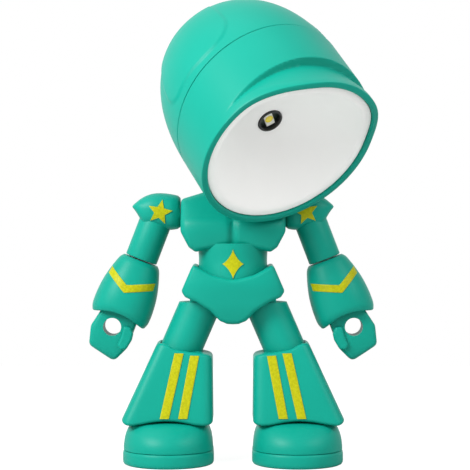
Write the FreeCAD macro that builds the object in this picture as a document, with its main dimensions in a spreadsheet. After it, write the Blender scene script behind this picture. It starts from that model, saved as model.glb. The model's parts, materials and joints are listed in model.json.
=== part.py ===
# Robot shaped desk lamp: a standing figure whose helmet is the lamp shade.
# Millimetres, +Z up, the robot faces -Y. The origin is on the floor under the middle of the whole lamp.
import FreeCAD
import Part
import math
import os
import Sketcher

# Driving dimensions: alias, value, what it is.
DIMENSIONS = [
    ("stand_shift", 19.15, "the torso's centre plane lies this far behind the origin"),
    ("split_gap", 0.1, "gap between two casings that meet"),
    ("turn_gap", 0.3, "gap between faces that turn past each other"),
    ("pin_gap", 0.05, "radial clearance of a pin in its hole"),
    ("cover", 40.0, "reach of a cut that only has to pass through everything"),
    # Head
    ("head_yaw", 33.0, "the head looks this far towards +X"),
    ("head_nod", 41.0, "the head looks this far down"),
    ("head_radius", 30.4, "outside of the helmet"),
    ("dome_depth", 43.0, "from the parting line back to the crown"),
    ("front_length", 18.7, "from the dome's base forward to the opening"),
    ("front_wall", 3.2, "helmet wall in front"),
    ("dome_wall", 2.2, "helmet wall at the dome's base"),
    ("parting_lean", 8.8, "the parting line leans back at the top"),
    ("parting_back", 2.4, "the parting line's place on the head's axis"),
    ("seat_depth", 3.4, "depth of the seat for the reflector"),
    ("seat_wall", 2.1, "helmet wall around the reflector"),
    ("rim_band", 2.6, "flat white band around the reflector"),
    ("rim_thick", 1.4, "thickness of that band"),
    ("rim_inset", 0.9, "the band lies this far inside the opening"),
    ("bowl_wall", 1.4, "reflector wall"),
    ("bowl_depth", 14.2, "from the band back to the lamp hole"),
    ("lamp_hole", 4.3, "radius of the hole for the light"),
    ("ridge_back", 8.2, "brow ridge, behind the opening"),
    ("crease_back", 6.6, "deepest line of the brow crease, behind the opening"),
    ("lip_back", 1.2, "front end of the brow crease, behind the opening"),
    ("crease_depth", 2.1, "depth of the brow crease"),
    ("crease_drop", 7.4, "offset of the crease's own axis, which makes its ends run out"),
    ("cap_radius", 12.5, "round cover at the crown"),
    ("cap_seat", 3.0, "thickness of that cover at its edge"),
    ("button_radius", 4.6, "power button"),
    ("button_travel", 1.2, "how far the button goes in"),
    ("button_length", 6.0, "length of the button in its guide"),
    ("cell_radius", 5.8, "button cell"),
    ("cell_height", 5.4, "button cell"),
    ("holder_wall", 1.3, "battery holder"),
    # Neck
    ("neck_front", 4.3, "the neck's axis lies this far in front of the torso's centre"),
    ("neck_height", 99.2, "height of the tilt pin"),
    ("pivot_back", 4.2, "tilt pin, behind the dome's base"),
    ("pivot_drop", 24.3, "tilt pin, under the head's axis"),
    ("neck_radius", 4.0, "neck post"),
    ("neck_depth", 8.0, "length of the post inside the torso"),
    ("knuckle_radius", 4.2, "round end of the neck post"),
    ("knuckle_half", 4.0, "half its width"),
    ("lug_thick", 3.0, "the two lugs that hold the tilt pin"),
    ("pin_radius", 1.5, "tilt pin and hip pin"),
    # Torso
    ("chest_half", 17.3, "half width of the chest"),
    ("chest_top", 90.2, "top of the chest at the neck"),
    ("chest_slope", 87.2, "height of the chest at the shoulder"),
    ("chest_waist", 76.6, "the sides start to taper here"),
    ("chest_bottom", 71.0, "lowest edge of the chest"),
    ("chest_arch", 73.1, "the lower edge in the middle"),
    ("chest_front", 11.0, "front of the chest"),
    ("chest_back", 9.6, "back of the chest"),
    ("chest_split", 0.15, "the two chest shells meet behind the centre plane by this much"),
    ("waist_radius", 11.6, "abdomen"),
    ("waist_bottom", 60.6, "underside of the abdomen"),
    ("shoulder_height", 82.9, "axis of the shoulders"),
    ("shoulder_back", 3.7, "the shoulder axis behind the centre plane"),
    ("shoulder_reach", 24.7, "centre of the shoulder pad from the middle"),
    ("peg_radius", 3.0, "pegs of the shoulders, elbows and wrists"),
    ("peg_length", 6.0, "length of those pegs"),
    ("screw_radius", 1.0, "screw shank"),
    ("screw_head", 1.9, "screw head"),
    # Arms
    ("arm_lean", 21.0, "the arms lean outwards"),
    ("pad_round", 6.5, "the shoulder pad is this round about its axis"),
    ("pad_inner", 7.1, "inner face of the pad from its centre"),
    ("pad_tip", 9.0, "outer tip of the pad from its centre"),
    ("arm_radius", 5.5, "upper arm"),
    ("elbow", 17.0, "seam of the elbow below the shoulder"),
    ("gauntlet_radius", 10.1, "forearm at its widest"),
    ("gauntlet_top", 6.2, "half width of the forearm at the elbow"),
    ("gauntlet_end", 38.2, "lower lip of the forearm below the shoulder"),
    ("cuff_bore", 8.4, "radius of the mouth that holds the fist"),
    ("cuff_depth", 5.4, "depth of that mouth"),
    ("fist_half", 6.0, "half width of the fist in its cuff"),
    ("fist_deep", 5.2, "half depth of the fist"),
    ("fist_end", 51.5, "end of the fist below the shoulder"),
    ("grip_drop", 41.2, "the grip hole below the shoulder"),
    ("grip_radius", 3.0, "grip hole through the fist"),
    # Hips and legs
    ("pelvis_half", 17.0, "half width of the pelvis"),
    ("pelvis_deep", 13.0, "half depth of the pelvis"),
    ("pelvis_top", 67.0, "upper corners of the pelvis"),
    ("pelvis_dip", 61.6, "the upper edge in the middle"),
    ("pelvis_side", 57.5, "widest place of the pelvis"),
    ("crotch", 47.6, "lowest edge of the pelvis"),
    ("hip_height", 53.5, "axis of the hips"),
    ("hip_radius", 6.0, "round top of the thigh"),
    ("web_half", 2.2, "half thickness of the web between the thighs"),
    ("slot_side", 14.6, "outer wall of the thigh's slot"),
    ("slot_deep", 9.4, "half depth of the thigh's slot"),
    ("thigh_lean", 23.5, "the thighs lean outwards"),
    ("thigh_radius", 6.85, "thigh"),
    ("thigh_reach", 10.3, "the thigh's axis at the hip from the middle"),
    ("thigh_length", 19.0, "thigh below the hip axis"),
    ("boot_top", 41.7, "upper outer corner of the boot"),
    ("boot_inner", 6.5, "inner side of the boot from the middle"),
    ("boot_outer", 36.2, "outer lower corner of the boot"),
    ("boot_bottom", 13.2, "lower edge of the boot"),
    ("boot_arch", 14.6, "that edge in the middle"),
    ("boot_round", 4.0, "rounded corners of the boot"),
    ("foot_middle", 21.3, "middle of the foot from the middle of the lamp"),
    ("foot_half", 15.0, "half width of the foot"),
    ("toe", 20.5, "the toe in front of the torso's centre plane"),
    ("heel", 12.5, "the heel behind it"),
    ("sole_thick", 4.8, "sole"),
    ("ankle_radius", 5.0, "peg between foot and boot"),
    # Ornaments
    ("print_thick", 0.35, "stars, chevrons and stripes"),
    ("print_gap", 0.05, "gap under an ornament on a round face"),
    ("stripe_width", 2.3, "stripes of the boots"),
    ("star_size", 4.3, "five pointed star, centre to tip"),
]

doc = FreeCAD.newDocument("robot_lamp")
sheet = doc.addObject("Spreadsheet::Sheet", "dims")
for row, (alias, value, note) in enumerate(DIMENSIONS, start=1):
    sheet.set(f"A{row}", note)
    sheet.set(f"B{row}", str(value))
    sheet.setAlias(f"B{row}", alias)
doc.recompute()


class Size:
    """A number together with the formula that gives it from the sheet."""

    def __init__(self, value, formula=None):
        self.value = float(value)
        self.formula = formula or repr(float(value))

    def __add__(self, other):
        other = size(other)
        return Size(self.value + other.value, f"({self.formula} + {other.formula})")

    def __sub__(self, other):
        other = size(other)
        return Size(self.value - other.value, f"({self.formula} - {other.formula})")

    def __mul__(self, other):
        other = size(other)
        return Size(self.value * other.value, f"({self.formula} * {other.formula})")

    def __truediv__(self, other):
        other = size(other)
        return Size(self.value / other.value, f"({self.formula} / {other.formula})")

    def __neg__(self):
        return Size(-self.value, f"(0 - {self.formula})")

    __radd__ = __add__
    __rmul__ = __mul__

    def __rsub__(self, other):
        return size(other) - self


def size(number):
    """The number as a Size."""
    return number if isinstance(number, Size) else Size(number)


def sine(angle):
    """Sine of an angle in degrees."""
    return Size(math.sin(math.radians(angle.value)), f"sin({angle.formula})")


def cosine(angle):
    """Cosine of an angle in degrees."""
    return Size(math.cos(math.radians(angle.value)), f"cos({angle.formula})")


class Dims:
    """The sheet's values by their aliases."""

    def __init__(self):
        for alias, value, note in DIMENSIONS:
            setattr(self, alias, Size(value, f"dims.{alias}"))


d = Dims()
parts = []


def bind(thing, name, number):
    """Tie one property to its formula."""
    number = size(number)
    thing.setExpression(name, number.formula)


def station(body, x=0, y=0, z=0, yaw=0, pitch=0, roll=0):
    """Put a body at its place in the lamp."""
    x, y, z = size(x), size(y), size(z)
    yaw, pitch, roll = size(yaw), size(pitch), size(roll)
    where = f"vector({x.formula}; {y.formula}; {z.formula})"
    turned = f"rotation({yaw.formula}; {pitch.formula}; {roll.formula})"
    body.setExpression("Placement", f"placement({where}; {turned})")


def new_body(label, place):
    """A new sub-part at the place that the function `place` gives it."""
    body = doc.addObject("PartDesign::Body", label)
    body.Label = label
    place(body)
    parts.append(body)
    return body


def new_sketch(body, plane, shift=(0, 0, 0), turn=0):
    """An empty sketch on one of the body's own planes, moved and turned about the plane's second axis."""
    sketch = body.newObject("Sketcher::SketchObject", f"{body.Label}_sketch")
    sketch.AttachmentSupport = ([f for f in body.Origin.OriginFeatures if f.Role == plane][0], "")
    sketch.MapMode = "FlatFace"
    shift = [size(s) for s in shift]
    turn = size(turn)
    where = "; ".join(s.formula for s in shift)
    sketch.setExpression(
        "AttachmentOffset", f"placement(vector({where}); rotation(0; {turn.formula}; 0))"
    )
    return sketch


def constrain(sketch, kind, geometry, corner, number):
    """Hold one coordinate of a corner at its formula."""
    number = size(number)
    index = sketch.addConstraint(
        Sketcher.Constraint(kind, -1, 1, geometry, corner, number.value)
    )
    sketch.setExpression(f"Constraints[{index}]", number.formula)


def arc_between(start, end, radius):
    """An arc that turns left for a positive radius, and the corner number that its start has."""
    chord = end - start
    side = FreeCAD.Vector(-chord.y, chord.x, 0).normalize()
    height = math.sqrt(max(radius * radius - chord.Length ** 2 / 4, 0))
    sign = 1 if radius > 0 else -1
    centre = (start + end) * 0.5 + side * (height * sign)
    first = math.atan2(start.y - centre.y, start.x - centre.x)
    last = math.atan2(end.y - centre.y, end.x - centre.x)
    circle = Part.Circle(centre, FreeCAD.Vector(0, 0, 1), abs(radius))
    if radius > 0:
        return Part.ArcOfCircle(circle, first, last + (2 * math.pi if last < first else 0)), 1
    return Part.ArcOfCircle(circle, last, first + (2 * math.pi if first < last else 0)), 2


def outline(sketch, points):
    """A closed outline. A point is (x, y), or (x, y, radius) where an arc leads on to the next."""
    corners = [FreeCAD.Vector(size(p[0]).value, size(p[1]).value, 0) for p in points]
    base = len(sketch.Geometry)
    starts = []
    count = len(points)
    for i, point in enumerate(points):
        start, end = corners[i], corners[(i + 1) % count]
        if len(point) == 3:
            arc, corner = arc_between(start, end, size(point[2]).value)
            sketch.addGeometry(arc, False)
            starts.append(corner)
        else:
            sketch.addGeometry(Part.LineSegment(start, end), False)
            starts.append(1)
    for i, point in enumerate(points):
        before = (i - 1) % count
        sketch.addConstraint(
            Sketcher.Constraint(
                "Coincident", base + before, 3 - starts[before], base + i, starts[i]
            )
        )
        constrain(sketch, "DistanceX", base + i, starts[i], point[0])
        constrain(sketch, "DistanceY", base + i, starts[i], point[1])
        if len(point) == 3:
            radius = size(point[2])
            if radius.value < 0:
                radius = -radius
            index = sketch.addConstraint(
                Sketcher.Constraint("Radius", base + i, radius.value)
            )
            sketch.setExpression(f"Constraints[{index}]", radius.formula)
    return sketch


def circle(sketch, x, y, radius):
    """A full circle."""
    x, y, radius = size(x), size(y), size(radius)
    centre = FreeCAD.Vector(x.value, y.value, 0)
    index = sketch.addGeometry(Part.Circle(centre, FreeCAD.Vector(0, 0, 1), radius.value), False)
    constrain(sketch, "DistanceX", index, 3, x)
    constrain(sketch, "DistanceY", index, 3, y)
    held = sketch.addConstraint(Sketcher.Constraint("Radius", index, radius.value))
    sketch.setExpression(f"Constraints[{held}]", radius.formula)
    return sketch


def frame_around(sketch):
    """A wide square round an outline, so that a pocket takes away all that lies outside the outline."""
    reach = 4 * d.cover
    return outline(sketch, [(-reach, -reach), (reach, -reach), (reach, reach), (-reach, reach)])


def pad(body, sketch, length, both=False, back=False):
    """Add material along the sketch's normal."""
    feature = body.newObject("PartDesign::Pad", f"{body.Label}_pad")
    feature.Profile = sketch
    feature.SideType = "Symmetric" if both else "One side"
    feature.Reversed = back
    bind(feature, "Length", length)
    return feature


def pocket(body, sketch, depth=None, back=False):
    """Take material away, through everything both ways where no depth is given."""
    feature = body.newObject("PartDesign::Pocket", f"{body.Label}_pocket")
    feature.Profile = sketch
    if depth is None:
        feature.SideType = "Symmetric"
        bind(feature, "Length", 4 * d.cover)
    else:
        feature.SideType = "One side"
        feature.Reversed = back
        bind(feature, "Length", depth)
    return feature


def spin(body, sketch, kind="Revolution", axis="H_Axis"):
    """Turn a profile once round the sketch's axis."""
    feature = body.newObject(f"PartDesign::{kind}", f"{body.Label}_turned")
    feature.Profile = sketch
    feature.ReferenceAxis = (sketch, [axis])
    feature.Angle = 360
    return feature


def mirrored(points):
    """The points, then the same ones on the other side in reverse order."""
    other = [(-size(p[0]),) + tuple(p[1:]) for p in reversed(points) if size(p[0]).value]
    return list(points) + other


def cylinder(label, place, plane, x, y, start, length, radius, bore=None):
    """A round bar or tube that starts at a distance from one of its body's planes."""
    body = new_body(label, place)
    sketch = new_sketch(body, plane, shift=(0, 0, start))
    circle(sketch, x, y, radius)
    if bore is not None:
        circle(sketch, x, y, bore)
    pad(body, sketch, length)
    return body


# Places

def in_torso(body):
    """The torso's frame, under its centre plane."""
    station(body, 0, d.stand_shift, 0)


HEAD_REACH = cosine(d.head_nod) * d.pivot_back + sine(d.head_nod) * d.pivot_drop
HEAD_RISE = cosine(d.head_nod) * d.pivot_drop - sine(d.head_nod) * d.pivot_back


def in_head(body):
    """The head's frame: its axis is Y, the opening faces -Y, and the dome's base is at Y = 0."""
    station(
        body,
        sine(d.head_yaw) * HEAD_REACH,
        d.stand_shift - d.neck_front - cosine(d.head_yaw) * HEAD_REACH,
        d.neck_height + HEAD_RISE,
        yaw=d.head_yaw,
        roll=d.head_nod,
    )


def at_shoulder(side):
    """The place of a shoulder pad, for side -1 (left in the front view) or 1."""
    def place(body):
        station(
            body,
            side * d.shoulder_reach,
            d.stand_shift + d.shoulder_back,
            d.shoulder_height,
        )
    return place


def along_arm(side):
    """The same place, turned so that the arm hangs along -Z."""
    def place(body):
        station(
            body,
            side * d.shoulder_reach,
            d.stand_shift + d.shoulder_back,
            d.shoulder_height,
            pitch=(-side) * d.arm_lean,
        )
    return place


# Head

def dome_profile():
    """Corners of the dome from its base to the crown cover, evenly spread round the curve."""
    steps = 5
    fullness = 2.3
    last = d.cap_radius.value / d.head_radius.value
    end = math.acos(last ** (fullness / 2))
    points = []
    for i in range(steps + 1):
        angle = end * i / steps
        back = math.sin(angle) ** (2 / fullness)
        out = math.cos(angle) ** (2 / fullness)
        points.append((d.dome_depth * back, d.head_radius * out))
    points[-1] = (points[-1][0], d.cap_radius)
    return points


CROWN = dome_profile()[-1][0]


def cut_at_parting(body, keep_back):
    """Cut a helmet shell at the leaning parting line."""
    sketch = new_sketch(body, "YZ_Plane")
    gap = d.split_gap / 2
    lean = sine(d.parting_lean) / cosine(d.parting_lean) * d.cover
    line = d.parting_back + (gap if keep_back else -gap)
    far = -d.cover if keep_back else 2 * d.cover
    outline(sketch, [(line - lean, -d.cover), (line + lean, d.cover), (far, d.cover), (far, -d.cover)])
    pocket(body, sketch)


def neck_slot(body):
    """The opening under the helmet that lets the neck post swing."""
    sketch = new_sketch(body, "XY_Plane")
    half = d.knuckle_half + 2 * d.turn_gap
    outline(sketch, [(-half, -7.5), (half, -7.5), (half, 11.5), (-half, 11.5)])
    pocket(body, sketch, d.head_radius + d.neck_radius, back=False)


def helmet_rear():
    """The dome, with the lugs that carry the tilt pin."""
    body = new_body("helmet_rear", in_head)
    inner = d.head_radius - d.dome_wall
    shell = dome_profile()
    sketch = new_sketch(body, "YZ_Plane")
    outline(sketch, [
        (-d.cap_radius, inner),
        (-d.cap_radius, d.head_radius),
    ] + shell + [
        (CROWN - d.cap_seat, d.cap_radius),
        (CROWN - d.cap_seat, d.cap_radius - d.dome_wall),
        (CROWN - 3 * d.cap_seat, d.cap_radius - d.dome_wall),
        (CROWN - 3 * d.cap_seat, 0.62 * d.head_radius),
        (0.36 * d.dome_depth, 0.62 * d.head_radius),
        (0.36 * d.dome_depth, inner),
    ])
    spin(body, sketch)
    lug = new_sketch(body, "YZ_Plane")
    low = 0.94 * d.head_radius
    half = d.knuckle_radius + d.turn_gap
    outline(lug, [
        (d.pivot_back - half, -low),
        (d.pivot_back + half, -low),
        (d.pivot_back + half, -d.pivot_drop),
        (d.pivot_back + half - d.turn_gap, half - d.pivot_drop),
        (d.pivot_back - half + d.turn_gap, half - d.pivot_drop),
        (d.pivot_back - half, -d.pivot_drop),
    ])
    inside = d.knuckle_half + d.turn_gap
    pad(body, lug, 2 * (inside + d.lug_thick), both=True)
    gap = new_sketch(body, "YZ_Plane")
    outline(gap, [
        (d.pivot_back - 2 * half, -d.head_radius - 1),
        (d.pivot_back + 2 * half, -d.head_radius - 1),
        (d.pivot_back + 2 * half, 2 * half - d.pivot_drop),
        (d.pivot_back - 2 * half, 2 * half - d.pivot_drop),
    ])
    cut = pocket(body, gap, 2 * inside)
    cut.SideType = "Symmetric"
    bore = new_sketch(body, "YZ_Plane")
    circle(bore, d.pivot_back, -d.pivot_drop, d.pin_radius + d.pin_gap)
    cut = pocket(body, bore, 2 * (inside + d.lug_thick + 1))
    cut.SideType = "Symmetric"
    neck_slot(body)
    cut_at_parting(body, keep_back=True)
    return body


def helmet_front():
    """The shade's front ring, with the brow crease and the seat for the reflector."""
    body = new_body("helmet_front", in_head)
    inner = d.head_radius - d.front_wall
    seat = d.head_radius - d.seat_wall
    sketch = new_sketch(body, "YZ_Plane")
    outline(sketch, [
        (-d.front_length, seat),
        (-d.front_length, d.head_radius - 0.5),
        (0.5 - d.front_length, d.head_radius),
        (d.cap_radius, d.head_radius),
        (d.cap_radius, inner),
        (d.seat_depth - d.front_length, inner),
        (d.seat_depth - d.front_length, seat),
    ])
    spin(body, sketch)
    crease = new_sketch(body, "YZ_Plane", shift=(0, -d.crease_drop, 0))
    floor = d.head_radius - d.crease_depth + d.crease_drop
    outline(crease, [
        (d.ridge_back - d.front_length, floor + 2 * d.crease_depth),
        (d.crease_back - d.front_length, floor),
        (d.lip_back - d.front_length, floor + d.crease_depth),
        (d.lip_back - d.front_length, floor + 2 * d.crease_depth),
    ])
    spin(body, crease, kind="Groove")
    neck_slot(body)
    cut_at_parting(body, keep_back=False)
    return body


RIM_PLANE = d.rim_inset - d.front_length
BOWL_MOUTH = d.head_radius - d.seat_wall - 0.15 - d.rim_band
LAMP_PLANE = RIM_PLANE + d.bowl_depth


def bowl_back(radius):
    """Where the bowl's surface lies at a radius: a parabola through the rim and the lamp hole."""
    share = (radius * radius - d.lamp_hole * d.lamp_hole) / (
        BOWL_MOUTH * BOWL_MOUTH - d.lamp_hole * d.lamp_hole
    )
    return LAMP_PLANE - d.bowl_depth * share


def reflector():
    """The white bowl with its flat rim."""
    body = new_body("reflector", in_head)
    radii = [d.lamp_hole, 0.62 * BOWL_MOUTH, BOWL_MOUTH]
    front = [(bowl_back(r), r) for r in radii]
    band = RIM_PLANE + d.rim_thick
    sketch = new_sketch(body, "YZ_Plane")
    outline(sketch, front + [
        (RIM_PLANE, BOWL_MOUTH + d.rim_band),
        (band, BOWL_MOUTH + d.rim_band),
        (band, BOWL_MOUTH + d.bowl_wall / 2),
        (bowl_back(radii[1]) + 1.2 * d.bowl_wall, radii[1] + d.bowl_wall),
        (LAMP_PLANE + d.bowl_wall, d.lamp_hole + 4),
        (LAMP_PLANE + d.bowl_wall, d.lamp_hole),
    ])
    spin(body, sketch)
    return body


def lamp():
    """The light: board, black ring, chip and its round emitter."""
    back = LAMP_PLANE + d.bowl_wall
    ring = cylinder(
        "lamp_socket", in_head, "XZ_Plane", 0, 0, -(back + 0.1), 2.0,
        d.lamp_hole - 0.15, bore=d.lamp_hole - 0.8,
    )
    board = cylinder(
        "lamp_board", in_head, "XZ_Plane", 0, 0, -(back + 1.3), 1.2, d.lamp_hole + 3.4,
    )
    chip = new_body("led_chip", in_head)
    sketch = new_sketch(chip, "XZ_Plane", shift=(0, 0, -(back + 0.1)))
    outline(sketch, [(-2.8, -1.5), (2.8, -1.5), (2.8, 1.5), (-2.8, 1.5)])
    pad(chip, sketch, 0.8)
    emitter = cylinder(
        "led_emitter", in_head, "XZ_Plane", 0, 0, -(back - 0.7), 0.3, 1.4,
    )
    return ring, board, chip, emitter


CELLS_START = LAMP_PLANE + d.bowl_wall + 3.2


def batteries():
    """Three button cells in a tube behind the light, with a contact at each end."""
    inner = d.cell_radius + 0.2
    length = 3 * d.cell_height
    tube = cylinder(
        "battery_holder", in_head, "XZ_Plane", 0, 0, -(CELLS_START + length + 1.0),
        length + 2.8, inner + d.holder_wall, bore=inner,
    )
    for i in range(3):
        cylinder(
            f"button_cell_{i + 1}", in_head, "XZ_Plane", 0, 0,
            -(CELLS_START + (i + 1) * d.cell_height), d.cell_height, d.cell_radius,
        )
    for name, start in (("contact_front", CELLS_START), ("contact_rear", CELLS_START + length + 0.4)):
        plate = new_body(name, in_head)
        sketch = new_sketch(plate, "XZ_Plane", shift=(0, 0, -start))
        outline(sketch, [(-3.5, -2.5), (3.5, -2.5), (3.5, 2.5), (-3.5, 2.5)])
        pad(plate, sketch, 0.4)
    switch = new_body("push_switch", in_head)
    start = CELLS_START + length + 1.0
    sketch = new_sketch(switch, "XZ_Plane", shift=(0, 0, -(BUTTON_BACK - 0.3)))
    outline(sketch, [(-4, -4), (4, -4), (4, 4), (-4, 4)])
    pad(switch, sketch, BUTTON_BACK - 0.3 - start)
    return tube


BUTTON_TOP = d.dome_depth + 0.2
BUTTON_BACK = BUTTON_TOP - d.button_length - d.button_travel


def crown_cover():
    """The round cover at the crown, its screws and the power button."""
    body = new_body("crown_cover", in_head)
    hole = d.button_radius + 0.15
    edge = d.cap_radius - d.split_gap
    sketch = new_sketch(body, "YZ_Plane")
    outline(sketch, [
        (CROWN - d.cap_seat + 0.05, hole),
        (CROWN - d.cap_seat + 0.05, edge),
        (CROWN, edge),
        (0.97 * d.dome_depth, 0.72 * d.cap_radius),
        (d.dome_depth - 0.4, hole),
    ])
    spin(body, sketch)
    place = 0.62 * (d.cap_radius + d.button_radius) / 1.2
    for side in (-1, 1):
        seat = new_sketch(body, "XZ_Plane", shift=(0, 0, -(d.dome_depth + 1)))
        circle(seat, side * place, 0, d.screw_head + 0.1)
        pocket(body, seat, d.dome_depth + 1 - (CROWN - 1.0), back=True)
        hole_sketch = new_sketch(body, "XZ_Plane", shift=(0, 0, -(d.dome_depth + 1)))
        circle(hole_sketch, side * place, 0, d.screw_radius + 0.1)
        pocket(body, hole_sketch, 2 * d.cap_seat + 2, back=True)
    screws = new_body("crown_screws", in_head)
    heads = new_sketch(screws, "XZ_Plane", shift=(0, 0, -(CROWN - 1.0)))
    for side in (-1, 1):
        circle(heads, side * place, 0, d.screw_head)
    pad(screws, heads, 1.0, back=True)
    shanks = new_sketch(screws, "XZ_Plane", shift=(0, 0, -(CROWN - 1.0)))
    for side in (-1, 1):
        circle(shanks, side * place, 0, d.screw_radius)
    pad(screws, shanks, d.cap_seat - 1.0)
    button = cylinder(
        "power_button", in_head, "XZ_Plane", 0, 0, -BUTTON_TOP, d.button_length, d.button_radius,
    )
    return body, button


# Neck

def neck():
    """The neck post, turned with the head so that its knuckle faces the tilt pin."""
    body = new_body("neck_post", in_neck)
    post = new_sketch(body, "XY_Plane", shift=(0, 0, d.chest_top - d.neck_depth - d.neck_height))
    circle(post, 0, 0, d.neck_radius)
    pad(body, post, d.neck_height - d.chest_top + d.neck_depth)
    knuckle = new_sketch(body, "YZ_Plane")
    circle(knuckle, 0, 0, d.knuckle_radius)
    pad(body, knuckle, 2 * d.knuckle_half, both=True)
    bore = new_sketch(body, "YZ_Plane")
    circle(bore, 0, 0, d.pin_radius + d.pin_gap)
    pocket(body, bore)
    pin_half = d.knuckle_half + d.turn_gap + d.lug_thick
    cylinder("tilt_pin", in_head, "YZ_Plane", d.pivot_back, -d.pivot_drop, -pin_half, 2 * pin_half, d.pin_radius)
    return body


def in_neck(body):
    """The neck's frame: on the tilt pin, turned with the head."""
    station(body, 0, d.stand_shift - d.neck_front, d.neck_height, yaw=d.head_yaw)


# Torso

def chest_points():
    """Front view of the chest."""
    half = d.chest_half
    return [
        (7, d.chest_top),
        (half, d.chest_slope),
        (half, d.chest_waist),
        (0.83 * half, d.chest_bottom + 1.6),
        (0.68 * half, d.chest_bottom),
    ]


def chest_shell(label, front):
    """One of the two chest shells."""
    body = new_body(label, in_torso)
    right = chest_points()
    sketch = new_sketch(body, "XZ_Plane", shift=(0, 0, -d.chest_split))
    arch = d.chest_arch - d.chest_bottom
    reach = 0.68 * d.chest_half
    radius = (reach * reach + arch * arch) / (2 * arch)
    points = right[:-1] + [(reach, d.chest_bottom, radius)]
    points += [(-p[0], p[1]) for p in reversed(right)]
    outline(sketch, points)
    length = d.chest_front + d.chest_split if front else d.chest_back - d.chest_split - d.split_gap
    if front:
        pad(body, sketch, length)
    else:
        sketch.setExpression(
            "AttachmentOffset",
            f"placement(vector(0; 0; {(-d.chest_split - d.split_gap).formula}); rotation(0; 0; 0))",
        )
        pad(body, sketch, length, back=True)
    profile = new_sketch(body, "YZ_Plane")
    if front:
        outline(profile, [
            (1, d.chest_bottom - 1),
            (-0.8 * d.chest_front, d.chest_bottom - 1),
            (-0.88 * d.chest_front, d.chest_bottom + 1),
            (-d.chest_front, d.chest_waist + 0.5),
            (-0.96 * d.chest_front, d.chest_waist + 3.6),
            (-0.7 * d.chest_front, d.chest_waist + 5.4),
            (-d.neck_front, d.chest_top - 4.2),
            (0, d.chest_top - 0.5),
            (1, d.chest_top - 0.5),
        ])
    else:
        outline(profile, [
            (-1, d.chest_bottom - 1),
            (-1, d.chest_top + 1),
            (0.5 * d.chest_back, d.chest_top + 1),
            (0.9 * d.chest_back, d.shoulder_height + 1),
            (d.chest_back, d.chest_waist + 3),
            (0.8 * d.chest_back, d.chest_bottom - 1),
        ])
    frame_around(profile)
    pocket(body, profile)
    plan = new_sketch(body, "XY_Plane")
    half = d.chest_half
    corner = d.peg_radius + 2
    if front:
        outline(plan, [
            (half, 2),
            (-half, 2),
            (-half, corner - d.chest_front, corner),
            (corner - half, -d.chest_front),
            (half - corner, -d.chest_front, corner),
            (half, corner - d.chest_front),
        ])
    else:
        outline(plan, [
            (-half, -2),
            (half, -2),
            (half, d.chest_back - corner, corner),
            (half - corner, d.chest_back),
            (corner - half, d.chest_back, corner),
            (-half, d.chest_back - corner),
        ])
    frame_around(plan)
    pocket(body, plan)
    if front:
        socket = new_sketch(body, "XY_Plane", shift=(0, 0, d.chest_top - d.neck_depth - 0.3))
        circle(socket, 0, -d.neck_front, d.neck_radius + d.pin_gap)
        pocket(body, socket, d.cover, back=True)
        cleft = new_sketch(body, "XY_Plane", shift=(0, 0, d.chest_bottom + 4))
        outline(cleft, [
            (-1.2, -d.chest_front - 1),
            (1.2, -d.chest_front - 1),
            (0.2, 1.4 - d.chest_front),
            (-0.2, 1.4 - d.chest_front),
        ])
        pocket(body, cleft, d.shoulder_height - d.chest_bottom - 4, back=True)
        hollow = new_sketch(body, "XZ_Plane", shift=(0, 0, -1))
        outline(hollow, [(-12.5, 74.5), (12.5, 74.5), (12.5, 80.5), (-12.5, 80.5)])
        pocket(body, hollow, 8, back=False).Reversed = True
    else:
        for side in (-1, 1):
            socket = new_sketch(body, "YZ_Plane", shift=(0, 0, side * (d.chest_half + 1)))
            circle(socket, d.shoulder_back, d.shoulder_height, d.peg_radius + d.pin_gap)
            pocket(body, socket, d.peg_length + 1.5, back=side < 0)
        seats = new_sketch(body, "XZ_Plane", shift=(0, 0, -(d.chest_back + 1)))
        for side in (-1, 1):
            circle(seats, side * 9, 77.5, d.screw_head + 0.1)
        pocket(body, seats, 3.0, back=True)
        holes = new_sketch(body, "XZ_Plane", shift=(0, 0, -(d.chest_back + 1)))
        for side in (-1, 1):
            circle(holes, side * 9, 77.5, d.screw_radius + 0.1)
        pocket(body, holes, d.cover, back=True)
    return body


def chest_screws():
    """Two screws that hold the back of the chest."""
    body = new_body("chest_screws", in_torso)
    heads = new_sketch(body, "XZ_Plane", shift=(0, 0, -(d.chest_back - 2.0)))
    for side in (-1, 1):
        circle(heads, side * 9, 77.5, d.screw_head)
    pad(body, heads, 1.2, back=True)
    shanks = new_sketch(body, "XZ_Plane", shift=(0, 0, -(d.chest_back - 2.0)))
    for side in (-1, 1):
        circle(shanks, side * 9, 77.5, d.screw_radius)
    pad(body, shanks, d.chest_back - 2.0)
    return body


def abdomen():
    """The round waist under the chest, which turns in the pelvis."""
    body = new_body("abdomen", in_torso)
    sketch = new_sketch(body, "XY_Plane", shift=(0, 0, d.waist_bottom))
    circle(sketch, 0, 0, d.waist_radius)
    pad(body, sketch, d.chest_arch + 1 - d.waist_bottom)
    above = new_sketch(body, "XZ_Plane")
    arch = d.chest_arch - d.chest_bottom
    reach = 0.68 * d.chest_half
    radius = (reach * reach + arch * arch) / (2 * arch)
    low = d.chest_bottom - d.split_gap
    outline(above, [
        (-d.cover, low),
        (-reach, low, -radius),
        (reach, low),
        (d.cover, low),
        (d.cover, low + d.cover),
        (-d.cover, low + d.cover),
    ])
    pocket(body, above)
    return body


def star(tips, big, small, turn=90):
    """Corners of a star with this many tips."""
    points = []
    for i in range(2 * tips):
        angle = math.radians(turn + 180 * i / tips)
        reach = big if i % 2 == 0 else small
        points.append((reach * math.cos(angle), reach * math.sin(angle)))
    return points


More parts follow.
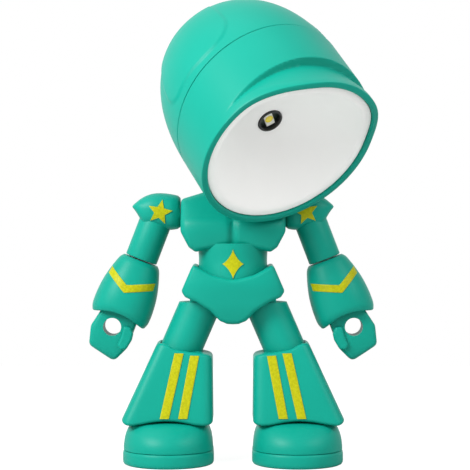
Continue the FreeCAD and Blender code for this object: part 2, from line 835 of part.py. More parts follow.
def abdomen_star():
    """The four pointed star on the waist."""
    body = new_body("abdomen_star", in_torso)
    inner = d.waist_radius + d.print_gap
    ring = new_sketch(body, "XY_Plane", shift=(0, 0, d.waist_bottom))
    circle(ring, 0, 0, inner + d.print_thick)
    circle(ring, 0, 0, inner)
    pad(body, ring, d.chest_bottom - d.waist_bottom)
    middle = d.pelvis_dip + 5.8
    tall, wide, waist = 4.4, 3.4, 1.25
    shape = new_sketch(body, "XZ_Plane", shift=(0, middle, 0))
    outline(shape, [
        (0, tall), (-waist, waist), (-wide, 0), (-waist, -waist),
        (0, -tall), (waist, -waist), (wide, 0), (waist, waist),
    ])
    frame_around(shape)
    pocket(body, shape)
    behind = new_sketch(body, "XY_Plane")
    outline(behind, [(-d.cover, 0), (d.cover, 0), (d.cover, d.cover), (-d.cover, d.cover)])
    pocket(body, behind)
    return body


# Arms

def pad_outline(side):
    """Front view of a shoulder pad, from its inner lower corner round the tip."""
    points = [
        (-d.pad_inner, -5.5),
        (-4, -6),
        (4.8, -4.6),
        (6.4, -2.2),
        (d.pad_tip, 2),
        (6.3, 5),
        (2.6, 6.2),
        (-1.4, 6.35),
        (-d.pad_inner, 5.4),
    ]
    return [(side * size(x), y) for x, y in points]


def shoulder_pad(side, name):
    """The flared cap over the top of an arm, with its peg in the chest."""
    body = new_body(f"shoulder_pad_{name}", at_shoulder(side))
    front = new_sketch(body, "XZ_Plane")
    outline(front, pad_outline(side))
    pad(body, front, 2 * d.pad_round, both=True)
    round_view = new_sketch(body, "YZ_Plane")
    circle(round_view, 0, 0, d.pad_round)
    frame_around(round_view)
    pocket(body, round_view)
    peg = new_sketch(body, "YZ_Plane", shift=(0, 0, (-side) * (d.pad_inner - 0.5)))
    circle(peg, 0, 0, d.peg_radius)
    pad(body, peg, d.peg_length + 0.5, back=side > 0)
    bore = new_sketch(body, "XY_Plane", shift=(0, 0, 0), turn=(-side) * d.arm_lean)
    circle(bore, 0, 0, d.peg_radius + 0.1)
    pocket(body, bore, 2 * d.pad_round)
    return body


def shoulder_star(side, name):
    """The five pointed star on a shoulder pad."""
    body = new_body(f"shoulder_star_{name}", at_shoulder(side))
    ring = new_sketch(body, "YZ_Plane")
    inner = d.pad_round + d.print_gap
    circle(ring, 0, 0, inner + d.print_thick)
    circle(ring, 0, 0, inner)
    pad(body, ring, 2 * d.pad_tip, both=True)
    shape = new_sketch(body, "XZ_Plane", shift=(-0.4 * side, 0, 0))
    points = star(5, 1.0, 0.42, turn=90 + side * 12)
    outline(shape, [(x * d.star_size, y * d.star_size) for x, y in points])
    frame_around(shape)
    pocket(body, shape)
    behind = new_sketch(body, "XY_Plane")
    outline(behind, [(-d.cover, 0), (d.cover, 0), (d.cover, d.cover), (-d.cover, d.cover)])
    pocket(body, behind)
    return body


def upper_arm(side, name):
    """The round bar between shoulder pad and forearm, with a peg at each end."""
    body = new_body(f"upper_arm_{name}", at_shoulder(side))
    lean = (-side) * d.arm_lean
    bar = new_sketch(body, "XY_Plane", turn=lean)
    circle(bar, 0, 0, d.arm_radius)
    pad(body, bar, d.elbow, back=True)
    room = new_sketch(body, "XZ_Plane")
    points = [(x, size(y)) for x, y in pad_outline(side)]
    lower = [(x, y - 0.1) for x, y in points[:4]]
    far = side * d.cover
    outline(room, [(-far, lower[0][1])] + lower + [(far, lower[3][1]), (far, d.cover), (-far, d.cover)])
    pocket(body, room)
    peg = new_sketch(body, "XY_Plane", turn=lean)
    circle(peg, 0, 0, d.peg_radius)
    pad(body, peg, d.elbow + d.peg_length, back=True)
    return body


def gauntlet_side():
    """Right half of the forearm's outline, from the elbow down to the lip."""
    wide = d.gauntlet_radius
    return [
        (d.gauntlet_top, -d.elbow - 0.3),
        (0.8 * wide, -d.elbow - 4.4, 60),
        (0.955 * wide, -d.elbow - 10.5),
        (wide, -d.elbow - 16),
        (wide, 1.4 - d.gauntlet_end),
        (wide - 0.8, -d.gauntlet_end),
    ]


def gauntlet(side, name):
    """The wide forearm: three outlines cut from one block, with a cuff for the fist."""
    body = new_body(f"gauntlet_{name}", along_arm(side))
    half = [(p[0], p[1]) for p in gauntlet_side()]
    front = new_sketch(body, "XZ_Plane")
    outline(front, mirrored(half))
    pad(body, front, 2 * d.gauntlet_radius, both=True)
    side_view = new_sketch(body, "YZ_Plane")
    outline(side_view, mirrored(half))
    frame_around(side_view)
    pocket(body, side_view)
    plan = new_sketch(body, "XY_Plane")
    circle(plan, 0, 0, d.gauntlet_radius)
    frame_around(plan)
    pocket(body, plan)
    top = new_sketch(body, "XY_Plane", shift=(0, 0, -d.elbow))
    circle(top, 0, 0, d.peg_radius + d.pin_gap)
    pocket(body, top, d.peg_length + 0.3)
    mouth = new_sketch(body, "XY_Plane", shift=(0, 0, -d.gauntlet_end - 1))
    circle(mouth, 0, 0, d.cuff_bore)
    pocket(body, mouth, d.cuff_depth + 1, back=True)
    wrist = new_sketch(body, "XY_Plane", shift=(0, 0, -d.gauntlet_end))
    circle(wrist, 0, 0, d.peg_radius + d.pin_gap)
    pocket(body, wrist, d.cuff_depth + d.peg_length + 0.3, back=True)
    notch = new_sketch(body, "XZ_Plane")
    low = -d.gauntlet_end
    outline(notch, [
        (-7.4, low - 1),
        (7.4, low - 1),
        (7.4, low + 2.2, 7.6),
        (-7.4, low + 2.2),
    ])
    pocket(body, notch, 2 * d.gauntlet_radius).Reversed = True
    return body


def chevron(side, name):
    """The bent stripe round the front of a forearm."""
    body = new_body(f"chevron_{name}", along_arm(side))
    inner = d.gauntlet_radius + d.print_gap
    ring = new_sketch(body, "XY_Plane", shift=(0, 0, -d.gauntlet_end))
    circle(ring, 0, 0, inner + d.print_thick)
    circle(ring, 0, 0, inner)
    pad(body, ring, d.gauntlet_end - d.elbow)
    shape = new_sketch(body, "XZ_Plane")
    top = -d.elbow - 6.2
    wide = 0.93 * d.gauntlet_radius
    outline(shape, [
        (-wide, top), (0, top - 5.2), (wide, top),
        (wide, top - 2.4), (0, top - 7.9), (-wide, top - 2.4),
    ])
    frame_around(shape)
    pocket(body, shape)
    behind = new_sketch(body, "XY_Plane")
    outline(behind, [(-d.cover, 0), (d.cover, 0), (d.cover, d.cover), (-d.cover, d.cover)])
    pocket(body, behind)
    return body


def fist(side, name):
    """The closed hand with its grip hole."""
    body = new_body(f"fist_{name}", along_arm(side))
    top = d.cuff_depth - d.gauntlet_end - 0.3
    half = d.fist_half
    front = new_sketch(body, "XZ_Plane")
    points = [
        (-half, top),
        (-half, -0.9 * d.fist_end),
        (-0.8 * half, 1.0 - d.fist_end),
        (-0.45 * half, -d.fist_end),
        (0.95 * half, 2.6 - d.fist_end),
        (1.22 * half, -0.86 * d.fist_end),
        (1.12 * half, -d.gauntlet_end - 0.3),
        (half, -d.gauntlet_end),
        (half, top),
    ]
    outline(front, [(side * x, y) for x, y in points])
    pad(body, front, 2 * d.fist_deep, both=True)
    view = new_sketch(body, "YZ_Plane")
    deep = d.fist_deep
    outline(view, mirrored([
        (deep - 1.2, top + 1),
        (deep, top - 2),
        (deep, 3.5 - d.fist_end),
        (deep - 2.2, -d.fist_end - 0.5),
    ]))
    frame_around(view)
    pocket(body, view)
    grip = new_sketch(body, "XZ_Plane")
    circle(grip, side * 0.8, -d.grip_drop, d.grip_radius)
    pocket(body, grip)
    stem = new_sketch(body, "XY_Plane", shift=(0, 0, top - 0.5))
    circle(stem, 0, 0, d.peg_radius)
    pad(body, stem, d.peg_length + 0.5)
    finger = new_sketch(body, "XZ_Plane", shift=(0, 0, d.fist_deep - 0.2))
    outline(finger, [(side * x, -y) for x, y in (
        (-2.6, 39.6), (-5.6, 39.2), (-6.8, 42.0), (-6.4, 46.5), (-4.4, 47.6), (-2.9, 45.4),
    )])
    pad(body, finger, 1.4)
    return body


# Hips and legs

def pelvis():
    """The hip piece: a cup for the waist above, a slot for each thigh below."""
    body = new_body("pelvis", in_torso)
    dip = d.pelvis_top - d.pelvis_dip
    reach = 0.79 * d.pelvis_half
    radius = (reach * reach + dip * dip) / (2 * dip)
    front = new_sketch(body, "XZ_Plane")
    lower = [
        (d.pelvis_half, d.pelvis_side),
        (0.97 * d.pelvis_half, d.pelvis_side - 0.8),
        (11.5, d.hip_height + 1.0),
        (7.3, d.hip_height - 1.9),
        (4.2, d.crotch + 0.6),
        (2.6, d.crotch),
    ]
    points = [(-reach, d.pelvis_top, radius), (reach, d.pelvis_top)] + lower
    points += [(-size(x), y) for x, y in reversed(lower)]
    outline(front, points)
    pad(body, front, 2 * d.pelvis_deep, both=True)
    view = new_sketch(body, "YZ_Plane")
    deep = d.pelvis_deep
    outline(view, mirrored([
        (0.94 * deep, d.pelvis_top + 1),
        (deep, d.pelvis_side + 3),
        (0.93 * deep, d.hip_height),
        (0.78 * deep, d.crotch - 1),
    ]))
    frame_around(view)
    pocket(body, view)
    plan = new_sketch(body, "XY_Plane")
    corner = d.peg_radius + 3
    half = d.pelvis_half
    outline(plan, [
        (half, corner - deep),
        (half, deep - corner, corner),
        (half - corner, deep),
        (corner - half, deep, corner),
        (-half, deep - corner),
        (-half, corner - deep, corner),
        (corner - half, -deep),
        (half - corner, -deep, corner),
    ])
    frame_around(plan)
    pocket(body, plan)
    cup = new_sketch(body, "XY_Plane", shift=(0, 0, d.waist_bottom - d.turn_gap))
    circle(cup, 0, 0, d.waist_radius + d.turn_gap)
    pocket(body, cup, d.cover, back=True)
    for side in (-1, 1):
        slot = new_sketch(body, "XZ_Plane")
        ceiling = d.hip_height + d.hip_radius + d.turn_gap
        outline(slot, [
            (side * d.web_half, d.crotch - 2),
            (side * d.slot_side, d.crotch - 2),
            (side * d.slot_side, ceiling),
            (side * d.web_half, ceiling),
        ])
        cut = pocket(body, slot, 2 * d.slot_deep)
        cut.SideType = "Symmetric"
    bore = new_sketch(body, "YZ_Plane")
    circle(bore, 0, d.hip_height, d.pin_radius + d.pin_gap)
    pocket(body, bore)
    return body


def hip_pin():
    """The cross pin through the web and both thighs."""
    half = d.slot_side - 1.0
    return cylinder("hip_pin", in_torso, "YZ_Plane", 0, d.hip_height, -half, 2 * half, d.pin_radius)


def at_hip(side):
    """The place where a thigh's axis crosses the hip axis."""
    def place(body):
        station(body, side * d.thigh_reach, d.stand_shift, d.hip_height)
    return place


def thigh(side, name):
    """The leg between hip pin and boot, with a round top."""
    body = new_body(f"thigh_{name}", at_hip(side))
    lean = (-side) * d.thigh_lean
    bar = new_sketch(body, "XY_Plane", turn=lean)
    circle(bar, 0, 0, d.thigh_radius)
    pad(body, bar, d.thigh_length, back=True)
    above = new_sketch(body, "XZ_Plane")
    outline(above, [(-d.cover, -0.3), (d.cover, -0.3), (d.cover, d.cover), (-d.cover, d.cover)])
    pocket(body, above)
    inner = d.thigh_reach - d.web_half - d.turn_gap
    beyond = new_sketch(body, "XZ_Plane")
    outline(beyond, [
        (-side * inner, -d.cover), (-side * d.cover, -d.cover),
        (-side * d.cover, d.cover), (-side * inner, d.cover),
    ])
    pocket(body, beyond)
    outer = d.slot_side - d.turn_gap - d.thigh_reach
    knuckle = new_sketch(body, "YZ_Plane", shift=(0, 0, (-side) * inner))
    circle(knuckle, 0, 0, d.hip_radius)
    pad(body, knuckle, inner + outer, back=side < 0)
    bore = new_sketch(body, "YZ_Plane")
    circle(bore, 0, 0, d.pin_radius + d.pin_gap)
    pocket(body, bore)
    return body


def boot_trim():
    """Upper and lower edges of a boot in the front view, outwards positive; its sides lie inside them."""
    side = d.boot_outer + 8
    return [
        (0, d.boot_top - 4.9),
        (d.boot_inner + 1.8, d.boot_top - 3.7),
        (0.53 * d.boot_outer, d.boot_top - 2.1),
        (0.625 * d.boot_outer, d.boot_top - 0.1),
        (0.7 * d.boot_outer, d.boot_top),
        (side, d.boot_top),
        (side, d.boot_bottom),
        (d.boot_outer - 2, d.boot_bottom),
        (d.foot_middle, d.boot_arch),
        (d.boot_inner + 3, d.boot_bottom),
        (0, d.boot_bottom),
    ]


def boot_front_line():
    """The front of a boot in the side view, beyond its upper and lower edges."""
    return [(size(-7.5), d.boot_top + 6), (size(-14.4), d.boot_bottom - 4)]


def boot_place(side):
    """The place of a leg's lower pieces."""
    def place(body):
        station(body, 0, d.stand_shift, 0)
    return place


def boot(side, name):
    """The flared boot, open above for the thigh."""
    body = new_body(f"boot_{name}", boot_place(side))
    high, low = d.boot_top + 6, d.boot_bottom - 4
    flare = 0.335 * d.boot_outer / (d.boot_top - d.boot_bottom - 2.4)
    front = new_sketch(body, "XZ_Plane")
    outline(front, [(side * x, z) for x, z in (
        (d.boot_inner + 0.4, high),
        (0.665 * d.boot_outer - 6 * flare, high),
        (d.boot_outer + 6.4 * flare, low),
        (d.boot_inner, low),
    )])
    pad(body, front, 3 * d.foot_half, both=True)
    view = new_sketch(body, "YZ_Plane")
    outline(view, boot_front_line() + [(12.0, low), (7.9, high)])
    frame_around(view)
    pocket(body, view)
    doc.recompute()
    sharp = body.Tip
    edges = upright_edges(body)
    rounded = body.newObject("PartDesign::Fillet", f"{body.Label}_round")
    rounded.Base = (sharp, edges)
    bind(rounded, "Radius", d.boot_round)
    trim = new_sketch(body, "XZ_Plane")
    outline(trim, [(side * size(x), z) for x, z in boot_trim()])
    frame_around(trim)
    pocket(body, trim)
    socket = new_sketch(
        body, "XY_Plane",
        shift=(side * d.thigh_reach, 0, d.hip_height), turn=(-side) * d.thigh_lean,
    )
    circle(socket, 0, 0, d.thigh_radius + d.split_gap)
    pocket(body, socket, d.thigh_length + d.split_gap)
    ankle = new_sketch(body, "XY_Plane", shift=(0, 0, 0))
    circle(ankle, side * d.foot_middle, 0, d.ankle_radius + d.split_gap)
    pocket(body, ankle, d.boot_bottom + 8, back=True)
    return body


def upright_edges(body):
    """Names of the four long edges that run up a boot's corners."""
    names = []
    for number, edge in enumerate(body.Shape.Edges, start=1):
        low, high = sorted(v.Z for v in edge.Vertexes) if len(edge.Vertexes) == 2 else (0, 0)
        if high - low > 0.6 * (d.boot_top.value - d.boot_bottom.value):
            names.append(f"Edge{number}")
    return names


def boot_stripes(side, name):
    """Two stripes down the front of a boot."""
    body = new_body(f"boot_stripes_{name}", boot_place(side))
    front = new_sketch(body, "XZ_Plane")
    wide = d.stripe_width
    top, low = d.boot_top - 2.6, d.boot_bottom + 1.9
    for high_x, low_x in ((11.9, 16.1), (16.7, 21.9)):
        outline(front, [
            (side * size(high_x), top), (side * size(low_x), low),
            (side * (low_x + wide), low), (side * (high_x + wide), top),
        ])
    pad(body, front, 3 * d.foot_half)
    view = new_sketch(body, "YZ_Plane")
    proud = d.print_thick
    inner = boot_front_line()
    outline(view, inner + [(y - proud, z) for y, z in reversed(inner)])
    frame_around(view)
    pocket(body, view)
    return body


def foot_plan(side, inset=0.0):
    """Plan of a foot: round toe, straight sides, rounded heel."""
    half = d.foot_half - inset
    middle = side * d.foot_middle
    toe_centre = -(d.toe - d.foot_half)
    heel = d.heel - inset
    corner = 0.55 * d.foot_half
    return [
        (middle - half, toe_centre, half),
        (middle + half, toe_centre),
        (middle + half, heel - corner, corner),
        (middle + half - corner, heel),
        (middle - half + corner, heel, corner),
        (middle - half, heel - corner),
    ]


def foot(side, name):
    """The upper of a foot, with the peg that goes up into the boot."""
    body = new_body(f"foot_{name}", boot_place(side))
    plan = new_sketch(body, "XY_Plane", shift=(0, 0, d.sole_thick))
    outline(plan, foot_plan(side, 0.25))
    pad(body, plan, d.boot_arch)
    middle = side * d.foot_middle
    wide = d.foot_half
    front = new_sketch(body, "XZ_Plane")
    rise = d.boot_bottom - d.split_gap
    outline(front, [
        (middle - wide, 0),
        (middle + wide, 0),
        (middle + wide, d.sole_thick + 1.5),
        (middle + 0.975 * wide, d.sole_thick + 4),
        (middle + 0.86 * wide, rise),
        (middle, d.boot_arch - d.split_gap),
        (middle - 0.86 * wide, rise),
        (middle - 0.975 * wide, d.sole_thick + 4),
        (middle - wide, d.sole_thick + 1.5),
    ])
    frame_around(front)
    pocket(body, front)
    view = new_sketch(body, "YZ_Plane")
    outline(view, [
        (-d.toe, 0),
        (d.heel, 0),
        (d.heel, d.sole_thick + 4),
        (d.heel - 3, d.boot_arch + 1),
        (4 - d.foot_half, d.boot_arch + 1),
        (1 - d.foot_half, d.boot_bottom - 0.8),
        (-0.9 * d.toe, d.sole_thick + 4.6),
        (-d.toe, d.sole_thick + 1.5),
    ])
    frame_around(view)
    pocket(body, view)
    peg = new_sketch(body, "XY_Plane", shift=(0, 0, d.sole_thick))
    circle(peg, middle, 0, d.ankle_radius)
    pad(body, peg, d.boot_bottom + 7 - d.sole_thick)
    return body


def sole(side, name):
    """The flat sole under a foot."""
    body = new_body(f"sole_{name}", boot_place(side))
    plan = new_sketch(body, "XY_Plane")
    outline(plan, foot_plan(side))
    pad(body, plan, d.sole_thick)
    return body


chest_shell("chest_front", front=True)
chest_shell("chest_back", front=False)
chest_screws()
abdomen()
abdomen_star()
pelvis()
hip_pin()
helmet_rear()
helmet_front()
reflector()
lamp()
batteries()
crown_cover()
neck()
for side, name in ((-1, "left"), (1, "right")):
    shoulder_pad(side, name)
    shoulder_star(side, name)
    upper_arm(side, name)
    gauntlet(side, name)
    chevron(side, name)
    fist(side, name)
    thigh(side, name)
    boot(side, name)
    boot_stripes(side, name)
    foot(side, name)
    sole(side, name)
doc.recompute()

for thing in doc.Objects:
    if "Invalid" in thing.State or "Error" in thing.State:
        raise RuntimeError(f"{thing.Label} failed: {thing.State}")
for part in parts:
    if part.Shape.isNull() or not part.Shape.isValid() or not part.Shape.Solids:
        raise RuntimeError(f"{part.Label} has no valid solid")

os.makedirs("parts", exist_ok=True)
for part in parts:
    part.Shape.exportStep(f"parts/{part.Label}.step")
print(len(parts), "parts")
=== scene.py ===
import json
import math

import bmesh
import bpy
from mathutils import Matrix, Vector


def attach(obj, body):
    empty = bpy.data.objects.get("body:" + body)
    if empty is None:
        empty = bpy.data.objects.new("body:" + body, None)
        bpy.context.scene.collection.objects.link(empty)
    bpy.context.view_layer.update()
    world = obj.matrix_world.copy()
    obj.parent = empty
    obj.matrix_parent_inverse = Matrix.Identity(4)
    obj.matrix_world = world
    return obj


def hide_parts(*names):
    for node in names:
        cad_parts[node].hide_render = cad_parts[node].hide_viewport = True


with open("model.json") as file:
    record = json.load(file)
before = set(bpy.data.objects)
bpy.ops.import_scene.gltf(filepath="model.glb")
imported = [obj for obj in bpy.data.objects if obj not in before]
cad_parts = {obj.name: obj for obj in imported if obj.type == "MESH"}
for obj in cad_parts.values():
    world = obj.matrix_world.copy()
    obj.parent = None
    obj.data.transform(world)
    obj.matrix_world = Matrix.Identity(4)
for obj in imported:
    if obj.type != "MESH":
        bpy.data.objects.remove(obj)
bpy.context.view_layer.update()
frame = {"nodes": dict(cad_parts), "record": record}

# Sizes are in millimetres in this script and turned into metres as each mesh is made.
MM = 0.001
SHIFT = 19.15           # the torso's centre plane lies this far behind the origin
YAW = math.radians(33.0)
NOD = math.radians(41.0)
HELMET = 30.4           # helmet radius
HELMET_SEGMENTS = 288
DOME = 43.0             # dome depth
DOME_POWER = 2.3        # 2 would make the dome an ellipse
OPENING = -18.7         # place of the helmet's mouth on the head's axis
BROW = 4.2              # reach of the brow over the mouth
CREASE_DEPTH = 2.4      # depth of the brow crease
CREASE_SHIFT = 4.8      # its cutter's axis lies this far under the head's
SEAM = 0.07             # half the gap between the helmet's two shells
FILLET = 0.35           # rounding of their edges at that gap
BOWL_RIM = OPENING + 0.9
BOWL_DEPTH = 14.2
BOWL_MOUTH = 25.55      # radius of the reflector's mouth
BOWL_HOLE = 4.3         # radius of the hole for the lamp
BOWL_WALL = 1.4
SHOULDER = 82.9         # shoulder height
HIP = 53.5              # hip height
THIGH_LEAN = math.radians(23.5)
PRINT = 0.3             # the yellow prints stand this far off their surface
SUNK = 0.1              # and reach this far into it
NODES = frame["nodes"]
BODY_OF = {node: body for body, nodes in frame["record"]["behaviour"]["bodies"].items() for node in nodes}


# Helpers

def smooth_step(low, high, value):
    """0 below low, 1 above high, an even S between."""
    t = min(max((value - low) / (high - low), 0.0), 1.0)
    return t * t * (3 - 2 * t)


def soft_min(a, b, width):
    """The smaller of two numbers, with a rounded change from one to the other."""
    h = max(width - abs(a - b), 0.0) / width
    return min(a, b) - h * h * width / 4


def table(pairs, x):
    """Value at x of a smooth curve through (x, value) pairs in rising order of x."""
    if x <= pairs[0][0]:
        return pairs[0][1]
    if x >= pairs[-1][0]:
        return pairs[-1][1]
    for i in range(len(pairs) - 1):
        (x0, y0), (x1, y1) = pairs[i], pairs[i + 1]
        if x0 <= x <= x1:
            before = pairs[i - 1] if i else pairs[i]
            after = pairs[i + 2] if i + 2 < len(pairs) else pairs[i + 1]
            m0 = (y1 - before[1]) / (x1 - before[0])
            m1 = (after[1] - y0) / (after[0] - x0)
            span = x1 - x0
            t = (x - x0) / span
            return ((1 + 2 * t) * (1 - t) ** 2 * y0 + t * (1 - t) ** 2 * span * m0
                    + t * t * (3 - 2 * t) * y1 + t * t * (t - 1) * span * m1)
    return pairs[-1][1]


def turned(yaw=0.0, pitch=0.0, roll=0.0):
    """Rotation about Z, then Y, then X of the turned axes."""
    return Matrix.Rotation(yaw, 4, "Z") @ Matrix.Rotation(pitch, 4, "Y") @ Matrix.Rotation(roll, 4, "X")


HEAD_TURN = turned(YAW, 0.0, NOD)
PIVOT = Vector((0.0, SHIFT - 4.3, 99.2))        # the tilt pin
PIVOT_IN_HEAD = Vector((0.0, 4.2, -24.3))       # the same place in the head's frame
HEAD = Matrix.Translation(PIVOT - HEAD_TURN @ PIVOT_IN_HEAD) @ HEAD_TURN
TORSO = Matrix.Translation((0.0, SHIFT, 0.0))


def shoulder_place(side):
    """The upright frame with its origin in the shoulder."""
    return Matrix.Translation((side * 24.7, SHIFT + 3.7, SHOULDER))


def arm_place(side):
    """The arm's frame: origin in the shoulder, the arm hangs along -Z."""
    return shoulder_place(side) @ turned(pitch=math.radians(-side * 21.0))


def make_mesh(name, points, faces, place):
    """A mesh object from points in millimetres in the given frame."""
    mesh = bpy.data.meshes.new(name)
    mesh.from_pydata([(place @ Vector(p)) * MM for p in points], [], faces)
    mesh.validate()
    thing = bpy.data.objects.new(name, mesh)
    bpy.context.scene.collection.objects.link(thing)
    return thing


def recalculate(thing):
    """Point every face outwards."""
    work = bmesh.new()
    work.from_mesh(thing.data)
    bmesh.ops.remove_doubles(work, verts=work.verts, dist=1e-7)
    bmesh.ops.recalc_face_normals(work, faces=work.faces)
    work.to_mesh(thing.data)
    work.free()


def paint(thing, material):
    """Give a thing one material."""
    thing.data.materials.clear()
    thing.data.materials.append(material)


def smooth(thing, sharp):
    """Shade a thing smooth, apart from edges over an angle in degrees."""
    thing.data.shade_smooth()
    thing.data.set_sharp_from_angle(angle=math.radians(sharp))


def finish_piece(thing, material, node=None, body=None, sharp=40.0):
    """Shade, colour and fasten a piece, in place of a node where one is given."""
    recalculate(thing)
    paint(thing, material)
    smooth(thing, sharp)
    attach(thing, body or BODY_OF[node])
    if node:
        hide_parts(node)


def loft(name, rings, place):
    """A skin over rings of equally many points, closed at both ends."""
    count = len(rings[0])
    points = [p for ring in rings for p in ring]
    faces = []
    for i in range(len(rings) - 1):
        for j in range(count):
            k = (j + 1) % count
            faces.append((i * count + j, i * count + k, (i + 1) * count + k, (i + 1) * count + j))
    for first, ring in ((0, rings[0]), ((len(rings) - 1) * count, rings[-1])):
        centre = len(points)
        points.append(tuple(sum((Vector(p) for p in ring), Vector()) / count))
        for j in range(count):
            faces.append((first + j, first + (j + 1) % count, centre))
    return make_mesh(name, points, faces, place)


def closed_skin(name, rings, place):
    """A skin over rings of equally many points, the last joined to the first."""
    count, total = len(rings[0]), len(rings)
    points = [p for ring in rings for p in ring]
    faces = []
    for i in range(total):
        for j in range(count):
            k = (j + 1) % count
            a, b = i * count, ((i + 1) % total) * count
            faces.append((a + j, a + k, b + k, b + j))
    return make_mesh(name, points, faces, place)


def ring_about_y(segments, at):
    """A ring about the frame's Y axis, for which at(phi) gives the radius and the place on the axis."""
    ring = []
    for j in range(segments):
        phi = 2 * math.pi * j / segments
        radius, y = at(phi)
        ring.append((radius * math.sin(phi), y, radius * math.cos(phi)))
    return ring


def ring_about_z(segments, radius, z):
    """A circle about the frame's Z axis."""
    turns = [2 * math.pi * j / segments for j in range(segments)]
    return [(radius * math.cos(t), radius * math.sin(t), z) for t in turns]


def lathe(name, profile, place, segments, reach=lambda phi: 0.0):
    """A closed profile of (along, radius) turned about the frame's Y axis, its rim forward by reach(phi)."""
    rings = []
    for along, radius in profile:
        rim = smooth_step(17.0, 26.0, radius)
        rings.append(ring_about_y(segments, lambda phi: (radius, along - reach(phi) * rim)))
    return closed_skin(name, rings, place)


def superellipse(a, b, power, count=96):
    """Points of a rounded rectangle-like curve."""
    points = []
    for j in range(count):
        t = 2 * math.pi * j / count
        c, s = math.cos(t), math.sin(t)
        x = a * math.copysign(abs(c) ** (2 / power), c)
        y = b * math.copysign(abs(s) ** (2 / power), s)
        points.append((x, y))
    return points


def falloff(x, half, power):
    """1 in the middle and 0 at a half width, along a superellipse."""
    return max(1 - abs(x / half) ** power, 0.0) ** (1 / power)


def rounded(points, radius, steps=6):
    """A polygon with rounded corners. A point may carry its own radius as a third number."""
    result = []
    count = len(points)
    for i, point in enumerate(points):
        here = Vector(point[:2])
        before = Vector(points[i - 1][:2])
        after = Vector(points[(i + 1) % count][:2])
        u, v = (before - here), (after - here)
        turn = u.angle(v)
        want = point[2] if len(point) > 2 else radius
        reach = min(want / math.tan(turn / 2), 0.49 * u.length, 0.49 * v.length)
        a, b = here + u.normalized() * reach, here + v.normalized() * reach
        for k in range(steps + 1):
            t = k / steps
            p = a * (1 - t) ** 2 + here * (2 * t * (1 - t)) + b * t * t
            result.append((p.x, p.y))
    return result


def resample(points, count):
    """Equally many, evenly spaced points round a closed outline."""
    loop = [Vector(p) for p in points] + [Vector(points[0])]
    lengths = [0.0]
    for a, b in zip(loop, loop[1:]):
        lengths.append(lengths[-1] + (b - a).length)
    result = []
    i = 0
    for j in range(count):
        want = lengths[-1] * j / count
        while lengths[i + 1] < want:
            i += 1
        t = (want - lengths[i]) / max(lengths[i + 1] - lengths[i], 1e-9)
        p = loop[i].lerp(loop[i + 1], t)
        result.append((p.x, p.y))
    return result


def inward(points, distance):
    """An outline moved inwards by a distance."""
    count = len(points)
    area = sum(points[i - 1][0] * points[i][1] - points[i][0] * points[i - 1][1] for i in range(count))
    sign = 1 if area > 0 else -1
    result = []
    for i in range(count):
        a, b = Vector(points[i - 1]), Vector(points[(i + 1) % count])
        along = (b - a).normalized()
        normal = Vector((-along.y, along.x)) * sign
        p = Vector(points[i]) + normal * distance
        result.append((p.x, p.y))
    return result


def pillow(name, outline, front, back, edge, place, front_edge=True, back_edge=True, cap_steps=7):
    """A form with a given front view and given front and back surfaces y(x, z), with rounded edges."""
    middle = Vector((sum(p[0] for p in outline) / len(outline), sum(p[1] for p in outline) / len(outline)))
    edge_steps = 6

    def half(surface, sign, rounding):
        """Rings from the outline over the edge to the middle of one surface."""
        angles = [math.pi / 2 * k / edge_steps for k in range(edge_steps + 1)] if rounding else [math.pi / 2]
        rings = []
        for angle in angles:
            inset = rounding * (1 - math.cos(angle))
            drop = rounding * (1 - math.sin(angle))
            rings.append([(x, surface(x, z) - sign * drop, z) for x, z in inward(outline, inset)])
        last = inward(outline, rounding)
        for k in range(1, cap_steps):
            t = 1 - k / cap_steps
            ring = []
            for x, z in last:
                px, pz = middle.x + (x - middle.x) * t, middle.y + (z - middle.y) * t
                ring.append((px, surface(px, pz), pz))
            rings.append(ring)
        return rings

    first = half(front, -1, edge if front_edge else 0.0)
    second = half(back, 1, edge if back_edge else 0.0)
    return loft(name, list(reversed(first)) + second, place)


def cut(thing, cutter):
    """Take a cutter's space out of a thing."""
    recalculate(thing)
    recalculate(cutter)
    step = thing.modifiers.new("cut", "BOOLEAN")
    step.operation = "DIFFERENCE"
    step.solver = "EXACT"
    step.object = cutter
    bake(thing)
    bpy.data.objects.remove(cutter)


def bake(thing):
    """Apply a thing's modifiers."""
    graph = bpy.context.evaluated_depsgraph_get()
    mesh = bpy.data.meshes.new_from_object(thing.evaluated_get(graph))
    thing.modifiers.clear()
    thing.data = mesh


def rod(name, place, radius, start, end, segments, edge=0.0):
    """A round bar along the frame's Z axis, its rims rounded by edge."""
    steps = 4
    rim = [(start, radius)]
    if edge:
        turns = [math.pi / 2 * k / steps for k in range(steps + 1)]
        rim = [(start + edge * (1 - math.cos(t)), radius - edge * (1 - math.sin(t))) for t in turns]
    profile = rim + [(start + end - along, r) for along, r in reversed(rim)]
    return loft(name, [ring_about_z(segments, r, along) for along, r in profile], place)


# Materials

def new_node(tree, kind, **inputs):
    """A shader node with its inputs set by name, in which _ stands for a space."""
    node = tree.nodes.new("ShaderNode" + kind)
    for name, value in inputs.items():
        node.inputs[name.replace("_", " ")].default_value = value
    return node


def empty_tree(owner):
    """The cleared node tree of a material or world."""
    owner.use_nodes = True
    owner.node_tree.nodes.clear()
    return owner.node_tree


